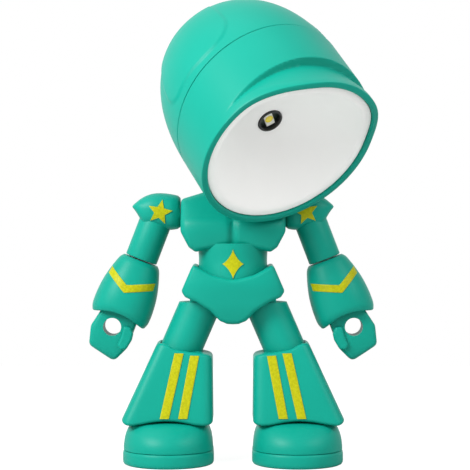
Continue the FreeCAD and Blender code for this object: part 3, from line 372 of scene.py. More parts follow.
def plastic(name, colour, second, roughness, grain=0.02, mottle=18.0, coat=0.0, metallic=0.0, shine=0.5):
    """Moulded plastic: two near colours mixed by slow noise, and a fine moulded grain."""
    material = bpy.data.materials.new(name)
    material.use_nodes = True
    tree = material.node_tree
    link = tree.links.new
    shader = tree.nodes["Principled BSDF"]
    place = new_node(tree, "TexCoord")
    cloud = new_node(tree, "TexNoise", Scale=mottle, Detail=3.0)
    fine = new_node(tree, "TexNoise", Scale=1400.0, Detail=2.0)
    for noise in (cloud, fine):
        link(place.outputs["Object"], noise.inputs["Vector"])
    ramp = new_node(tree, "ValToRGB")
    for stop, position, tint in zip(ramp.color_ramp.elements, (0.35, 0.65), (colour, second)):
        stop.position = position
        stop.color = (*tint, 1)
    link(cloud.outputs["Fac"], ramp.inputs["Fac"])
    link(ramp.outputs["Color"], shader.inputs["Base Color"])
    spread = 0.04
    rough = new_node(tree, "MapRange", To_Min=roughness - spread, To_Max=roughness + spread)
    link(cloud.outputs["Fac"], rough.inputs["Value"])
    link(rough.outputs["Result"], shader.inputs["Roughness"])
    bump = new_node(tree, "Bump", Strength=grain, Distance=0.0002)
    link(fine.outputs["Fac"], bump.inputs["Height"])
    link(bump.outputs["Normal"], shader.inputs["Normal"])
    shader.inputs["Metallic"].default_value = metallic
    shader.inputs["Coat Weight"].default_value = coat
    shader.inputs["Coat Roughness"].default_value = 0.25
    shader.inputs["Specular IOR Level"].default_value = shine
    return material


TEAL = plastic("teal_plastic", (0.002, 0.27, 0.20), (0.003, 0.295, 0.222), 0.42, grain=0.05, shine=0.14)
WHITE = plastic("white_reflector", (0.93, 0.93, 0.92), (0.95, 0.95, 0.94), 0.4, grain=0.015, shine=0.3)
YELLOW = plastic("yellow_print", (0.34, 0.35, 0.003), (0.43, 0.43, 0.005), 0.45, grain=0.06, mottle=1300.0,
                 shine=0.14)
BLACK = plastic("black_plastic", (0.010, 0.012, 0.012), (0.02, 0.022, 0.022), 0.4)
BOARD = plastic("circuit_board", (0.008, 0.016, 0.012), (0.014, 0.03, 0.02), 0.3, mottle=300.0)
CHIP = plastic("light_package", (0.72, 0.72, 0.66), (0.8, 0.8, 0.74), 0.5)
GLOW = plastic("light_phosphor", (0.85, 0.68, 0.03), (0.92, 0.76, 0.05), 0.25, mottle=900.0, coat=0.5)
METAL = plastic("bright_metal", (0.55, 0.55, 0.56), (0.62, 0.62, 0.63), 0.3, metallic=1.0)


# Head

EAR_FRONT = [(30, 13.5), (42, 10.6), (50, 8.7), (60, 7.7), (72, 7.4), (86, 6.4), (100, 6.0)]


def parting(z):
    """Place of the leaning parting line on the head's axis at a height."""
    return 2.4 + math.tan(math.radians(8.8)) * z


def degrees_from(middle, phi):
    """Degrees round the head's axis between the middle of a feature and a place."""
    return abs((math.degrees(phi) - middle + 180) % 360 - 180)


def seam_rounding(near):
    """How far a shell is rounded off at a depth into the fillet of its edge."""
    if near <= 0:
        return 0.0
    return FILLET * (1 - math.sqrt(max(1 - (near / FILLET) ** 2, 0.0)))


def dome_radius(y):
    """Radius of the smooth dome."""
    if y <= 0:
        return HELMET
    depth = DOME - 0.25
    return HELMET * max(1 - (min(y, depth) / depth) ** DOME_POWER, 0.0) ** (1 / DOME_POWER)


def ear_height(y, phi):
    """Height of the raised side panels over the dome."""
    proud, corner, rear = 0.45, 6.0, 34
    angle = degrees_from(0, phi)
    millimetres_per_degree = 0.53
    side = min(angle - 35.5, 98.5 - angle) * millimetres_per_degree
    front = y - table(EAR_FRONT, angle)
    edge = min(side, front, rear - y)
    if side < corner and front < corner:
        edge = corner - math.hypot(corner - side, corner - front)
    return proud * smooth_step(-0.5, 0.6, edge)


def brow_reach(phi):
    """How far the brow juts out over the mouth."""
    return BROW * (1 - smooth_step(20, 72, degrees_from(12, phi)))


def crease_floor(y, phi, start):
    """Radius of the brow crease's cutter at a place on the head's axis."""
    sag = 8.0 * (1 - math.cos(phi))
    ridge = OPENING + 9.3 - sag
    deep = OPENING + 7.7 - sag
    lip = start + 1.3
    floor = HELMET - CREASE_DEPTH + CREASE_SHIFT
    if y >= ridge or y <= lip - 0.4 or deep < lip + 0.5:
        return floor + 6
    if y > deep:
        return floor + 4.0 * ((y - deep) / (ridge - deep)) ** 1.2
    return floor + (CREASE_DEPTH - 0.05) * (min(deep - y, deep - lip) / (deep - lip)) ** 1.25


def front_radius(y, phi, start):
    """Outside of the helmet's front ring."""
    reach = crease_floor(y, phi, start)
    side = reach * reach - (CREASE_SHIFT * math.sin(phi)) ** 2
    crease = -CREASE_SHIFT * math.cos(phi) + math.sqrt(side)
    radius = soft_min(HELMET, crease, 0.5)
    lip = 0.6
    if y < start + lip:
        t = (start + lip - y) / lip
        radius -= lip * (1 - math.sqrt(max(1 - t * t, 0.0)))
    return radius


def helmet_front():
    """The shade's front ring with the brow crease."""
    rows = 90
    rings = []
    for i in range(rows + 1):
        share = 1 - (1 - i / rows) ** 1.15

        def outside(phi):
            start = OPENING - brow_reach(phi)
            end = parting(HELMET * math.cos(phi)) - SEAM
            y = start + (end - start) * share
            return front_radius(y, phi, start) - seam_rounding(y - (end - FILLET)), y

        rings.append(ring_about_y(HELMET_SEGMENTS, outside))
    for wall in (2.2, 3.2):
        rings.append(ring_about_y(
            HELMET_SEGMENTS, lambda phi: (HELMET - wall, parting(HELMET * math.cos(phi)) - SEAM)))
    for wall, depth, jut in ((3.2, 3.4, 0), (2.1, 3.4, 0), (2.1, 0.35, 1), (1.75, 0.0, 1)):
        rings.append(ring_about_y(
            HELMET_SEGMENTS, lambda phi: (HELMET - wall, OPENING + depth - jut * brow_reach(phi))))
    shell = closed_skin("helmet_front_shell", rings, HEAD)
    cut(shell, neck_cutter())
    finish_piece(shell, TEAL, "helmet_front", sharp=35)


def neck_cutter():
    """The space under the helmet in which the neck swings."""
    outline = rounded([(-4.6, -7.5), (4.6, -7.5), (4.6, 11.5), (-4.6, 11.5)], 1.5)
    rings = [[(x, y, z) for x, y in outline] for z in (-45.0, -10.0)]
    return loft("neck_cutter", rings, HEAD)


def helmet_rear():
    """The dome with its raised side panels, open at the crown, and the two lugs of the tilt pin."""
    crown, inside, waist = 12.5, 28.2, 18.8
    end = DOME * (1 - (crown / HELMET) ** DOME_POWER) ** (1 / DOME_POWER) - 0.2
    rows = 110
    rings = []
    for i in range(rows + 1):
        share = math.sin(math.pi / 2 * i / rows) ** 1.2

        def outside(phi):
            start = parting(HELMET * math.cos(phi)) + SEAM
            y = start + (end - start) * share
            return dome_radius(y) + ear_height(y, phi) - seam_rounding((start + FILLET) - y), y

        rings.append(ring_about_y(HELMET_SEGMENTS, outside))
    for y, radius in ((end - 3, crown), (end - 3, crown - 2.2), (end - 9, crown - 2.2), (end - 9, waist),
                      (15.5, waist), (15.5, inside)):
        rings.append(ring_about_y(HELMET_SEGMENTS, lambda phi: (radius, y)))
    rings.append(ring_about_y(
        HELMET_SEGMENTS, lambda phi: (inside, parting(HELMET * math.cos(phi)) + SEAM)))
    shell = closed_skin("helmet_rear_shell", rings, HEAD)
    cut(shell, neck_cutter())
    finish_piece(shell, TEAL, "helmet_rear", sharp=35)
    outline = rounded([
        (-0.3, -28.0), (8.7, -28.0), (8.7, -24.3), (7.9, -19.8), (0.5, -19.8), (-0.3, -24.3),
    ], 1.2)
    for side, name in ((-1, "left"), (1, "right")):
        rings = [[(side * x, y, z) for y, z in outline] for x in (4.3, 7.3)]
        finish_piece(loft(f"tilt_lug_{name}", rings, HEAD), TEAL, body="head")


def bowl_share(radius):
    """How far up the reflector a radius lies: 0 at the lamp's hole, 1 at the mouth."""
    return (radius * radius - BOWL_HOLE * BOWL_HOLE) / (BOWL_MOUTH * BOWL_MOUTH - BOWL_HOLE * BOWL_HOLE)


def reflector():
    """The white bowl: a parabola with a softly rounded flat rim."""
    steps = 34
    profile = []
    for i in range(steps + 1):
        radius = BOWL_HOLE + (BOWL_MOUTH - BOWL_HOLE) * i / steps
        y = BOWL_RIM + BOWL_DEPTH - BOWL_DEPTH * bowl_share(radius)
        profile.append((y + 0.12 * smooth_step(BOWL_MOUTH - 1.2, BOWL_MOUTH, radius), radius))
    outer = BOWL_MOUTH + 2.6
    profile += [
        (BOWL_RIM + 0.05, BOWL_MOUTH + 0.35), (BOWL_RIM, BOWL_MOUTH + 0.8), (BOWL_RIM, outer - 0.4),
        (BOWL_RIM + 0.12, outer - 0.1), (BOWL_RIM + 0.45, outer), (BOWL_RIM + BOWL_WALL, outer),
        (BOWL_RIM + BOWL_WALL, BOWL_MOUTH + 0.9),
    ]
    outside_steps = 11
    for i in range(outside_steps + 1):
        radius = BOWL_MOUTH - (BOWL_MOUTH - BOWL_HOLE - 4.0) * i / outside_steps
        y = BOWL_RIM + BOWL_DEPTH + BOWL_WALL - BOWL_DEPTH * bowl_share(radius) * 0.98
        profile.append((y, radius + 0.9))
    profile.append((BOWL_RIM + BOWL_DEPTH + BOWL_WALL, BOWL_HOLE))
    bowl = lathe("reflector_bowl", profile, HEAD, 192, brow_reach)
    finish_piece(bowl, WHITE, "reflector", sharp=35)


def lamp():
    """Black socket, board, chip and its round emitter."""
    back = BOWL_RIM + BOWL_DEPTH + BOWL_WALL
    ring = lathe("lamp_socket_ring", [
        (back - 1.9, 3.55), (back - 1.9, 4.0), (back - 1.75, 4.14), (back, 4.14), (back + 0.05, 3.5),
        (back - 0.6, 3.45), (back - 1.6, 3.5),
    ], HEAD, 96)
    finish_piece(ring, BLACK, "lamp_socket")
    along_head = HEAD @ turned(roll=math.radians(-90))
    board = rod("lamp_board_disc", along_head, 7.6, back + 0.1, back + 1.3, 96, 0.15)
    finish_piece(board, BOARD, "lamp_board")
    outline = rounded([(-2.8, -1.5), (2.8, -1.5), (2.8, 1.5), (-2.8, 1.5)], 0.25)
    levels = ((back + 0.08, 1.0), (back - 0.62, 1.0), (back - 0.7, 0.96), (back - 0.62, 0.8))
    rings = [[(x * s, y, z * s) for x, z in outline] for y, s in levels]
    chip = loft("light_chip", rings, HEAD @ turned(pitch=math.radians(52)))
    finish_piece(chip, CHIP, "led_chip")
    dome = ((0.66, 1.4), (0.78, 1.3), (0.9, 1.0), (0.97, 0.5), (0.98, 0.05))
    rings = [ring_about_y(48, lambda phi: (radius, back - proud)) for proud, radius in dome]
    finish_piece(loft("light_emitter", rings, HEAD), GLOW, "led_emitter")


helmet_front()
helmet_rear()
reflector()
lamp()


# Torso

# Half of the chest's outline and of the hip piece's: x, z and the radius of each corner.
# The depths are pairs of height and depth.
CHEST = [
    (0.0, 90.25, 8), (7.5, 90.2, 5), (17.3, 87.2, 1.6), (17.35, 76.6, 3.0), (14.6, 71.4, 2.0),
    (12.4, 69.8, 1.4), (6.0, 71.2, 12), (0.0, 71.9, 8),
]
CHEST_FRONT = [
    (69.2, 8.9), (71.5, 10.0), (75.6, 10.9), (79.0, 10.7), (80.8, 9.7), (82.4, 8.0), (84.2, 6.2), (86.2, 4.3),
    (88.2, 2.3), (90.4, 0.15),
]
CHEST_BACK = [(69.2, 7.4), (73.0, 9.0), (79.0, 9.5), (85.0, 8.9), (88.0, 7.0), (90.4, 5.0)]


def mirror_outline(half):
    """Both halves of a symmetric outline, from the half with x >= 0."""
    left = [(-p[0],) + tuple(p[1:]) for p in reversed(half) if p[0] > 0]
    return list(half) + left


def chest_front_surface(x, z):
    """Front of the chest: two full halves, a cleft, a slope to the shoulders."""
    depth = table(CHEST_FRONT, z) * (0.55 + 0.45 * falloff(x, 17.6, 4.2)) - 0.25
    cleft = math.exp(-(x / 1.3) ** 2) * smooth_step(70.5, 73.5, z) * (1 - smooth_step(80.5, 85.5, z))
    return -(depth - cleft)


def chest_back_surface(x, z):
    """Back of the chest."""
    return table(CHEST_BACK, z) * (0.55 + 0.45 * falloff(x, 17.7, 4.2)) - 0.15


def chest():
    """The two chest shells, parted just behind the torso's centre plane."""
    outline = resample(rounded(mirror_outline(CHEST), 2.0), 220)
    edge = 1.6
    piece = pillow("chest_front_shell", outline, chest_front_surface, lambda x, z: 0.10, edge, TORSO,
                   back_edge=False, cap_steps=16)
    finish_piece(piece, TEAL, "chest_front", sharp=45)
    piece = pillow("chest_back_shell", outline, lambda x, z: 0.20, chest_back_surface, edge, TORSO,
                   front_edge=False, cap_steps=10)
    finish_piece(piece, TEAL, "chest_back", sharp=45)


def abdomen_radius(z):
    """Half width of the waist."""
    return 11.6 - 0.25 * math.exp(-((z - 67.0) / 3.0) ** 2)


def abdomen():
    """The waist."""
    steps = 24
    heights = [60.5 + 12.2 * i / steps for i in range(steps + 1)]
    rings = [ring_about_z(128, abdomen_radius(z), z) for z in heights]
    finish_piece(loft("waist", rings, TORSO), TEAL, "abdomen")


def decal(name, outline, surface, place, node):
    """A thin printed shape that follows a surface y(x, z); its outline is star shaped about its middle."""
    pieces = max(int(160 / len(outline)), 2)
    loop = []
    for i, corner in enumerate(outline):
        here, after = Vector(corner), Vector(outline[(i + 1) % len(outline)])
        for k in range(pieces):
            p = here.lerp(after, k / pieces)
            loop.append((p.x, p.y))
    middle = Vector((sum(p[0] for p in loop) / len(loop), sum(p[1] for p in loop) / len(loop)))

    def ring(scale, lift):
        """The outline drawn in towards its middle and lifted off the surface."""
        result = []
        for x, z in loop:
            px, pz = middle.x + (x - middle.x) * scale, middle.y + (z - middle.y) * scale
            result.append((px, surface(px, pz) - lift, pz))
        return result

    flat = 0.985
    steps = 6
    rings = [ring(0.02, -SUNK), ring(1.0, -SUNK), ring(1.0, PRINT - 0.07), ring(flat, PRINT)]
    rings += [ring(flat * (1 - k / steps) + 0.01, PRINT) for k in range(1, steps)]
    finish_piece(loft(name, rings, place), YELLOW, node, sharp=50)


def point_along(line, share):
    """The point at a share of the length of a line of points."""
    lengths = [0.0]
    for a, b in zip(line, line[1:]):
        lengths.append(lengths[-1] + (Vector(b) - Vector(a)).length)
    want = share * lengths[-1]
    for i in range(len(line) - 1):
        if want <= lengths[i + 1] + 1e-9:
            part = (want - lengths[i]) / (lengths[i + 1] - lengths[i])
            return Vector(line[i]).lerp(Vector(line[i + 1]), part)
    return Vector(line[-1])


def band_decal(name, left, right, surface, place, steps):
    """A thin printed band between two lines of points, laid on a surface y(x, z)."""
    section = [
        (0.0, -SUNK), (0.0, PRINT - 0.06), (0.03, PRINT), (0.2, PRINT), (0.4, PRINT), (0.6, PRINT),
        (0.8, PRINT), (0.97, PRINT), (1.0, PRINT - 0.06), (1.0, -SUNK), (0.5, -SUNK),
    ]
    rings = []
    for i in range(steps + 1):
        a, b = point_along(left, i / steps), point_along(right, i / steps)
        ring = []
        for share, lift in section:
            p = a.lerp(b, share)
            ring.append((p.x, surface(p.x, p.y) - lift, p.y))
        rings.append(ring)
    return loft(name, rings, place)


def abdomen_star():
    """The four pointed star, its sides curved inwards."""
    middle, tall, wide, power = 66.0, 4.9, 3.6, 2.7
    points_each = 10
    outline = []
    for quarter in range(4):
        for k in range(points_each):
            t = math.pi / 2 * (quarter + k / points_each)
            c, s = math.cos(t), math.sin(t)
            x = math.copysign(abs(c) ** power, c) * wide
            z = math.copysign(abs(s) ** power, s) * tall
            outline.append((x, middle + z))

    def waist_front(x, z):
        return -math.sqrt(max(abdomen_radius(z) ** 2 - x * x, 1.0))

    decal("waist_star", outline, waist_front, TORSO, "abdomen_star")


PELVIS = [
    (0.0, 60.8, 9), (7.0, 62.4, 10), (13.2, 65.8, 1.2), (17.0, 57.0, 1.4), (15.8, 55.1, 1.0), (11.6, 53.3, 5),
    (7.4, 50.5, 5), (4.3, 47.2, 2.5), (2.0, 46.2, 3), (0.0, 46.1, 6),
]
PELVIS_DEPTH = [(46, 10.0), (51, 11.6), (54, 12.2), (59, 12.9), (63, 12.7), (67.2, 12.2)]


def pelvis():
    """The hip piece, hollowed for the waist and the thighs."""
    outline = resample(rounded(mirror_outline(PELVIS), 1.5), 220)

    def surface(x, z):
        return table(PELVIS_DEPTH, z) * (0.5 + 0.5 * falloff(x, 17.6, 3.4))

    piece = pillow("pelvis_shell", outline, lambda x, z: -surface(x, z), surface, 1.3, TORSO, cap_steps=10)
    cut(piece, rod("cup_cutter", TORSO, 11.95, 60.3, 90.0, 128))
    slot = rounded([(2.2, -9.4), (14.6, -9.4), (14.6, 9.4), (2.2, 9.4)], 0.8)
    for side in (-1, 1):
        ends = [[(side * x, y, z) for x, y in slot] for z in (40.0, 59.8)]
        cut(piece, loft("slot_cutter", ends, TORSO))
    finish_piece(piece, TEAL, "pelvis", sharp=35)


chest()
abdomen()
abdomen_star()
pelvis()


# Arms

# Upper and lower edge of a shoulder pad over the distance outwards from the shoulder.
PAD_INNER = -7.1
PAD_TOP = [
    (-7.1, 5.3), (-4.5, 5.9), (-1.4, 6.3), (1.5, 6.25), (4.0, 5.6), (6.3, 4.4), (7.8, 3.2), (8.6, 2.5),
    (9.0, 1.9),
]
PAD_LOW = [
    (-7.1, -5.5), (-4.0, -6.0), (0.0, -5.6), (4.8, -4.6), (6.0, -3.0), (7.2, -0.9), (8.2, 0.6), (8.7, 1.2),
    (9.0, 1.7),
]
PAD_POWER = 2.4


def pad_section(out):
    """Half height, middle height and half depth of a shoulder pad at a distance outwards."""
    top, low = table(PAD_TOP, out), table(PAD_LOW, out)
    deep = 6.35 * (1 - max(0.0, (out + 1) / 10.3) ** 2.6) ** 0.5 - 0.9 * smooth_step(-4, PAD_INNER, out)
    return (top - low) / 2, (top + low) / 2, deep


def pad_surface(side):
    """Front surface of a shoulder pad."""
    def surface(x, z):
        half, middle, deep = pad_section(side * x)
        share = min(abs(z - middle) / half, 0.999)
        return -deep * (1 - share ** PAD_POWER) ** (1 / PAD_POWER)
    return surface


def shoulder_pad(side, name):
    """The flared cap over an arm, with its star."""
    place = shoulder_place(side)
    rings = []
    steps = 40
    for i in range(steps + 1):
        t = i / steps
        out = PAD_INNER + 16.05 * math.sin(math.pi / 2 * t) ** 0.9
        half, middle, deep = pad_section(out)
        shrink = 1 - 0.1 * (1 - smooth_step(PAD_INNER, -6.3, out))
        section = superellipse(deep, half, PAD_POWER)
        rings.append([(side * out, y * shrink, middle + z * shrink) for y, z in section])
    finish_piece(loft(f"shoulder_cap_{name}", rings, place), TEAL, f"shoulder_pad_{name}", sharp=50)
    points = []
    turn = 90 + side * 12
    for i in range(10):
        angle = math.radians(turn + 36 * i)
        reach = 4.3 if i % 2 == 0 else 1.9
        points.append((-0.4 * side + reach * math.cos(angle), reach * math.sin(angle)))
    decal(f"pad_star_{name}", points, pad_surface(side), place, f"shoulder_star_{name}")


def upper_arm(side, name):
    """The round upper arm."""
    place = arm_place(side)
    finish_piece(rod(f"arm_bar_{name}", place, 5.45, -16.9, -3.5, 96, 0.35), TEAL, f"upper_arm_{name}")


# The forearm's half width over the distance under the shoulder.
GAUNTLET = [
    (17.3, 6.0), (18.3, 6.9), (20.0, 7.6), (23.0, 8.55), (27.0, 9.5), (31.0, 9.98), (34.5, 10.08),
    (36.6, 9.9), (38.2, 9.3),
]
GAUNTLET_TOP = 17.3
GAUNTLET_LENGTH = 20.9
GAUNTLET_FLAT = 0.985   # its depth over its width
GAUNTLET_POWER = 2.25


def gauntlet_half(w):
    """Half width of the forearm at a distance below the shoulder."""
    return table(GAUNTLET, w)


def gauntlet_surface(x, z):
    """Front surface of the forearm in the arm's frame."""
    half = gauntlet_half(-z)
    share = min(abs(x) / half, 0.9995)
    return -half * GAUNTLET_FLAT * (1 - share ** GAUNTLET_POWER) ** (1 / GAUNTLET_POWER)


def gauntlet(side, name):
    """The bell shaped forearm with the mouth that holds the fist, and its chevron."""
    place = arm_place(side)
    steps = 48

    def ring(w, half, lift=0.0):
        """A section at a distance below the shoulder, lifted in front by the arch over the fist."""
        points = []
        for x, y in superellipse(half, half * GAUNTLET_FLAT, GAUNTLET_POWER, 120):
            front = max(0.0, -y / half) ** 2
            points.append((x, y, -w + lift * front * math.sqrt(max(1 - (x / 10.5) ** 2, 0.0))))
        return points

    rings = []
    for i in range(steps + 1):
        w = GAUNTLET_TOP + GAUNTLET_LENGTH * i / steps
        share = (w - GAUNTLET_TOP) / GAUNTLET_LENGTH
        rings.append(ring(w, gauntlet_half(w), 2.3 * share ** 2))
    for w, half, lift in ((38.45, 8.85, 2.4), (38.2, 8.45, 2.3), (37.6, 8.3, 1.6), (33.2, 8.3, 0.0)):
        rings.append(ring(w, half, lift))
    top = [[(x * s, y * s, -GAUNTLET_TOP) for x, y, z in rings[0]] for s in (0.6, 0.88)]
    finish_piece(loft(f"forearm_{name}_bell", top + rings, place), TEAL, f"gauntlet_{name}", sharp=50)
    upper = [(side * -7.5, -22.6), (side * 1.1, -26.2), (side * 8.1, -22.3)]
    lower = [(side * -7.7, -25.1), (side * 1.1, -28.9), (side * 8.4, -24.7)]
    mark = band_decal(f"forearm_chevron_{name}", upper, lower, gauntlet_surface, place, steps=48)
    finish_piece(mark, YELLOW, f"chevron_{name}", sharp=50)


FIST_DEPTH = [(-52.0, 3.2), (-50.0, 4.4), (-46.0, 5.1), (-40.0, 5.2), (-33.0, 5.1)]
THUMB = [
    (-2.7, -39.4), (-5.0, -38.9), (-6.6, -40.8), (-6.9, -43.0), (-6.3, -46.4), (-4.6, -47.5), (-3.0, -46.2),
    (-3.1, -43.0),
]


def fist(side, name):
    """The closed hand with its grip hole and thumb."""
    place = arm_place(side)
    half = 6.3
    outline = [
        (-half, -33.2, 1.8), (-half, -46.3, 3.5), (-0.6 * half, -51.9, 2.2), (0.95 * half, -49.6, 2.2),
        (1.22 * half, -43.3, 3.0), (1.02 * half, -37.6, 3.0), (half, -33.2, 1.8),
    ]
    outline = resample(rounded([(side * x, z, radius) for x, z, radius in outline], 1.0), 150)

    def surface(x, z):
        return table(FIST_DEPTH, z) - 0.5 * (abs(x) / 7.0) ** 4

    palm = pillow(f"hand_{name}_palm", outline, lambda x, z: -surface(x, z), surface, 1.1, place)
    grip = place @ Matrix.Translation((side * 0.8, 0, -41.2)) @ turned(roll=math.radians(90))
    cut(palm, rod("grip_cutter", grip, 3.0, -12.0, 12.0, 64))
    finish_piece(palm, TEAL, f"fist_{name}", sharp=50)
    outline = resample(rounded([(side * x, z) for x, z in THUMB], 1.2), 80)
    thumb = pillow(f"thumb_{name}", outline, lambda x, z: -6.35, lambda x, z: -4.0, 0.9, place,
                   back_edge=False, cap_steps=4)
    finish_piece(thumb, TEAL, body=f"hand_{name}")


# Legs

def thigh_line(side):
    """A point at the hip and the direction of the thigh."""
    return (Vector((side * 10.3, 0, HIP)),
            Vector((side * math.sin(THIGH_LEAN), 0, -math.cos(THIGH_LEAN))))


def thigh(side, name):
    """The thigh, cut level under the hip pin."""
    start, axis = thigh_line(side)
    across = Vector((math.cos(THIGH_LEAN), 0, side * math.sin(THIGH_LEAN)))
    radius, length, segments, steps = 6.8, 20.6, 96, 13
    rings = []
    for k in range(steps + 1):
        ring = []
        for j in range(segments):
            t = 2 * math.pi * j / segments
            offset = across * (radius * math.cos(t)) + Vector((0, radius * math.sin(t), 0))
            top = (offset.z + 0.4) / math.cos(THIGH_LEAN)
            ring.append(tuple(start + offset + axis * (top + (length - top) * k / steps)))
        rings.append(ring)
    finish_piece(loft(f"thigh_{name}_bar", rings, TORSO), TEAL, f"thigh_{name}")
    place = Matrix.Translation((side * 8.4, SHIFT, HIP)) @ turned(pitch=math.radians(90))
    knuckle = rod(f"thigh_{name}_knuckle", place, 5.95, -5.85, 5.85, 64, 0.3)
    finish_piece(knuckle, TEAL, body=f"leg_{name}")


# The boot's front, back and inner faces lean over this span under this height.
BOOT_HIGH = 47.7
BOOT_SPAN = 38.5
BOOT_TOP = [(5.0, 34.9), (8.5, 36.1), (14.0, 37.0), (19.0, 37.9), (22.0, 39.3), (24.0, 39.8), (26.0, 39.8)]
BOOT_LOW = [
    (5.0, 14.0), (8.5, 13.3), (12.0, 13.4), (17.0, 14.3), (21.3, 14.65), (26.0, 14.35), (31.0, 13.5),
    (34.0, 13.3), (37.0, 14.6),
]


def boot_front(z):
    """Place of the boot's front face at a height."""
    return -7.5 - 6.9 * (BOOT_HIGH - z) / BOOT_SPAN


def boot_back(z):
    """Place of the boot's back face at a height."""
    return 7.9 + 4.1 * (BOOT_HIGH - z) / BOOT_SPAN


def boot_sides(z):
    """Inner and outer side of the boot at a height, as distances from the middle."""
    return 6.9 - 0.4 * (BOOT_HIGH - z) / BOOT_SPAN, 24.1 + 0.4646 * (41.7 - z)


def boot_ring(side, height, inset):
    """A section of the boot at a height(x), drawn in by an inset."""
    z = height(20.0)
    inner, outer = boot_sides(z)
    inner += inset
    outer -= inset
    front = boot_front(z) + inset
    back = boot_back(z) - inset
    radius = max(4.0 - inset, 1.0)
    flat = resample(rounded([(inner, front), (outer, front), (outer, back), (inner, back)], radius, 8), 160)
    ring = []
    for x, y in flat:
        z = height(x)
        low_inner, low_outer = boot_sides(z)
        across = (x - inner) / (outer - inner)
        deep = (y - front) / (back - front)
        px = (low_inner + inset) + across * ((low_outer - inset) - (low_inner + inset))
        py = (boot_front(z) + inset) + deep * ((boot_back(z) - inset) - (boot_front(z) + inset))
        ring.append((side * px, py, z))
    return ring


def boot(side, name):
    """The flared boot with a rounded mouth for the thigh, and its two stripes."""
    lip, brim = 1.1, 0.9
    edge_steps, wall_steps = 6, 16

    def top(x):
        return table(BOOT_TOP, x)

    def low(x):
        return table(BOOT_LOW, x)

    rings = []
    for k in range(edge_steps + 1):
        t = math.pi / 2 * (edge_steps - k) / edge_steps
        rings.append(boot_ring(side, lambda x: low(x) + lip * (1 - math.sin(t)), lip * (1 - math.cos(t))))
    for k in range(1, wall_steps):
        s = k / wall_steps
        rings.append(boot_ring(side, lambda x: (low(x) + lip) * (1 - s) + (top(x) - brim) * s, 0.0))
    for k in range(edge_steps + 1):
        t = math.pi / 2 * k / edge_steps
        rings.append(boot_ring(side, lambda x: top(x) - brim * (1 - math.sin(t)), brim * (1 - math.cos(t))))
    start, axis = thigh_line(side)
    brim_ring = rings[-1]
    for radius, depth in ((7.5, 0.35), (7.15, 0.8), (7.0, 3.0)):
        mouth = []
        for point in brim_ring:
            offset = Vector(point) - start
            w = offset.dot(axis)
            across = offset - axis * w
            mouth.append(tuple(start + axis * (w + depth) + across.normalized() * radius))
        rings.append(mouth)
    finish_piece(loft(f"boot_{name}_shell", rings, TORSO), TEAL, f"boot_{name}", sharp=50)

    wide, low_end = 3.0, 15.6
    stripes = []
    for number, (high_x, low_x) in enumerate(((11.1, 14.9), (16.2, 20.9)), 1):
        high_end = top(high_x + 1.0) - brim
        left = [(side * high_x, high_end), (side * low_x, low_end)]
        right = [(side * (high_x + wide), high_end + 0.1), (side * (low_x + wide), low_end)]
        stripes.append(band_decal(
            f"boot_{name}_stripe_{number}", left, right, lambda x, z: boot_front(z), TORSO, steps=10))
    finish_piece(stripes[0], YELLOW, f"boot_stripes_{name}", sharp=50)
    finish_piece(stripes[1], YELLOW, body=f"leg_{name}", sharp=50)


# Height, half width, toe and heel of the foot's upper, and height and inset of the sole.
FOOT_LEVELS = [
    (4.85, 14.75, 20.25, 12.3), (6.0, 14.75, 20.3, 12.3), (7.5, 14.6, 20.0, 12.2), (9.0, 14.35, 19.3, 11.9),
    (10.4, 13.95, 18.2, 11.4), (11.6, 13.45, 16.9, 10.8), (12.6, 12.9, 15.6, 10.2), (13.3, 12.3, 14.4, 9.6),
    (13.9, 10.0, 12.2, 7.6), (14.2, 6.0, 8.0, 4.2), (14.3, 2.0, 6.0, 1.4),
]
SOLE_LEVELS = [
    (0.0, 0.9), (0.25, 0.35), (0.8, 0.05), (1.5, 0.0), (3.6, 0.0), (4.25, 0.12), (4.6, 0.35), (4.7, 0.8),
]


def foot_outline(side, half, toe, heel):
    """Plan of a foot: round toe, straight sides, rounded heel."""
    middle, toe_centre, steps = 21.3, 5.5, 40
    points = []
    for k in range(steps + 1):
        t = math.pi + math.pi * k / steps
        points.append((middle + half * math.cos(t), (toe - toe_centre) * math.sin(t) - toe_centre))
    inner, outer = middle - half, middle + half
    sides = [(outer, -toe_centre), (outer, heel), (inner, heel), (inner, -toe_centre)]
    points += rounded(sides, 8.2)[8:-8]  # the heel's two corners without their outermost points
    return [(side * x, y) for x, y in resample(points, 180)]


def foot(side, name):
    """The upper of a foot, domed under the boot, and its sole."""
    rings = []
    for z, half, toe, heel in FOOT_LEVELS:
        rings.append([(x, y, z) for x, y in foot_outline(side, half, toe, heel)])
    finish_piece(loft(f"foot_{name}_upper", rings, TORSO), TEAL, f"foot_{name}", sharp=50)
    rings = []
    for z, inset in SOLE_LEVELS:
        rings.append([(x, y, z) for x, y in foot_outline(side, 15.0 - inset, 20.5 - inset, 12.5 - inset)])
    finish_piece(loft(f"sole_{name}_plate", rings, TORSO), TEAL, f"sole_{name}", sharp=50)


for side, name in ((-1, "left"), (1, "right")):
    shoulder_pad(side, name)
    upper_arm(side, name)
    gauntlet(side, name)
    fist(side, name)
    thigh(side, name)
    boot(side, name)
    foot(side, name)

for node in ("tilt_pin", "hip_pin", "chest_screws", "crown_screws", "contact_front", "contact_rear",
             "button_cell_1", "button_cell_2", "button_cell_3"):
    paint(NODES[node], METAL)
for node in ("battery_holder", "push_switch"):
    paint(NODES[node], BLACK)
for node in ("neck_post", "crown_cover", "power_button"):
    paint(NODES[node], TEAL)
    smooth(NODES[node], 30)


# Stage, light and camera

scene = bpy.context.scene
scene.view_settings.view_transform = "Standard"
scene.view_settings.look = "None"


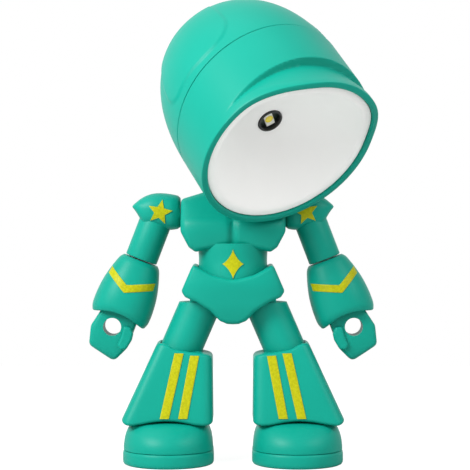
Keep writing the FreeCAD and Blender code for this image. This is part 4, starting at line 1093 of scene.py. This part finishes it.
def make_world():
    """Soft light on the object, and plain white wherever the camera, gloss or glass sees the world."""
    world = bpy.data.worlds.new("studio")
    scene.world = world
    tree = empty_tree(world)
    link = tree.links.new
    path = new_node(tree, "LightPath")
    seen = path.outputs["Is Camera Ray"]
    for ray in ("Is Glossy Ray", "Is Transmission Ray"):
        either = new_node(tree, "Math")
        either.operation = "MAXIMUM"
        link(seen, either.inputs[0])
        link(path.outputs[ray], either.inputs[1])
        seen = either.outputs["Value"]
    soft = new_node(tree, "Background", Color=(1.0, 0.99, 0.97, 1), Strength=0.45)
    white = new_node(tree, "Background", Color=(1, 1, 1, 1), Strength=1.0)
    mixer = new_node(tree, "MixShader")
    link(seen, mixer.inputs["Fac"])
    link(soft.outputs["Background"], mixer.inputs[1])
    link(white.outputs["Background"], mixer.inputs[2])
    link(mixer.outputs["Shader"], new_node(tree, "OutputWorld").inputs["Surface"])


def make_floor():
    """A floor that the camera sees as white with the object's shadow, and that lights it as plain grey."""
    edge = 0.35
    mesh = bpy.data.meshes.new("floor")
    corners = [(-edge, -edge, 0), (edge, -edge, 0), (edge, edge, 0), (-edge, edge, 0)]
    mesh.from_pydata(corners, [], [(0, 1, 2, 3)])
    floor = bpy.data.objects.new("floor", mesh)
    scene.collection.objects.link(floor)
    pale = bpy.data.materials.new("floor_white")
    tree = empty_tree(pale)
    link = tree.links.new
    path = new_node(tree, "LightPath")
    matte = new_node(tree, "BsdfDiffuse", Color=(0.62, 0.62, 0.62, 1))
    bright = new_node(tree, "Emission", Strength=0.93)
    shaded = new_node(tree, "BsdfDiffuse", Color=(0.2, 0.2, 0.2, 1))
    both = new_node(tree, "AddShader")
    link(bright.outputs["Emission"], both.inputs[0])
    link(shaded.outputs["BSDF"], both.inputs[1])
    mixer = new_node(tree, "MixShader")
    link(path.outputs["Is Camera Ray"], mixer.inputs["Fac"])
    link(matte.outputs["BSDF"], mixer.inputs[1])
    link(both.outputs["Shader"], mixer.inputs[2])
    link(mixer.outputs["Shader"], new_node(tree, "OutputMaterial").inputs["Surface"])
    mesh.materials.append(pale)


def area_light(name, where, aim, size, power):
    """A square soft light."""
    data = bpy.data.lights.new(name, "AREA")
    data.size = size
    data.energy = power
    thing = bpy.data.objects.new(name, data)
    thing.location = where
    thing.rotation_euler = (Vector(aim) - Vector(where)).to_track_quat("-Z", "Y").to_euler()
    scene.collection.objects.link(thing)


make_world()
make_floor()
area_light("key_light", (-0.31, -0.27, 0.34), (0, 0, 0.13), 0.22, 3.3)
area_light("fill_light", (0.4, -0.3, 0.42), (0, 0, 0.12), 0.3, 1.5)
area_light("top_light", (-0.1, 0.0, 0.6), (0, 0, 0.1), 0.4, 0.5)

frame_width = 470       # of the photograph, in pixels
sensor = 36.0
camera_data = bpy.data.cameras.new("camera")
camera_data.sensor_width = sensor
camera_data.lens = 1800 / frame_width * sensor
camera_data.shift_x = 2 / frame_width
camera_data.shift_y = -38.2 / frame_width
camera_data.clip_start = 0.01
camera = bpy.data.objects.new("camera", camera_data)
camera.location = (0.0, (SHIFT - 600) * MM, 0.088)
camera.rotation_euler = (math.radians(90), 0, 0)
scene.collection.objects.link(camera)
scene.camera = camera
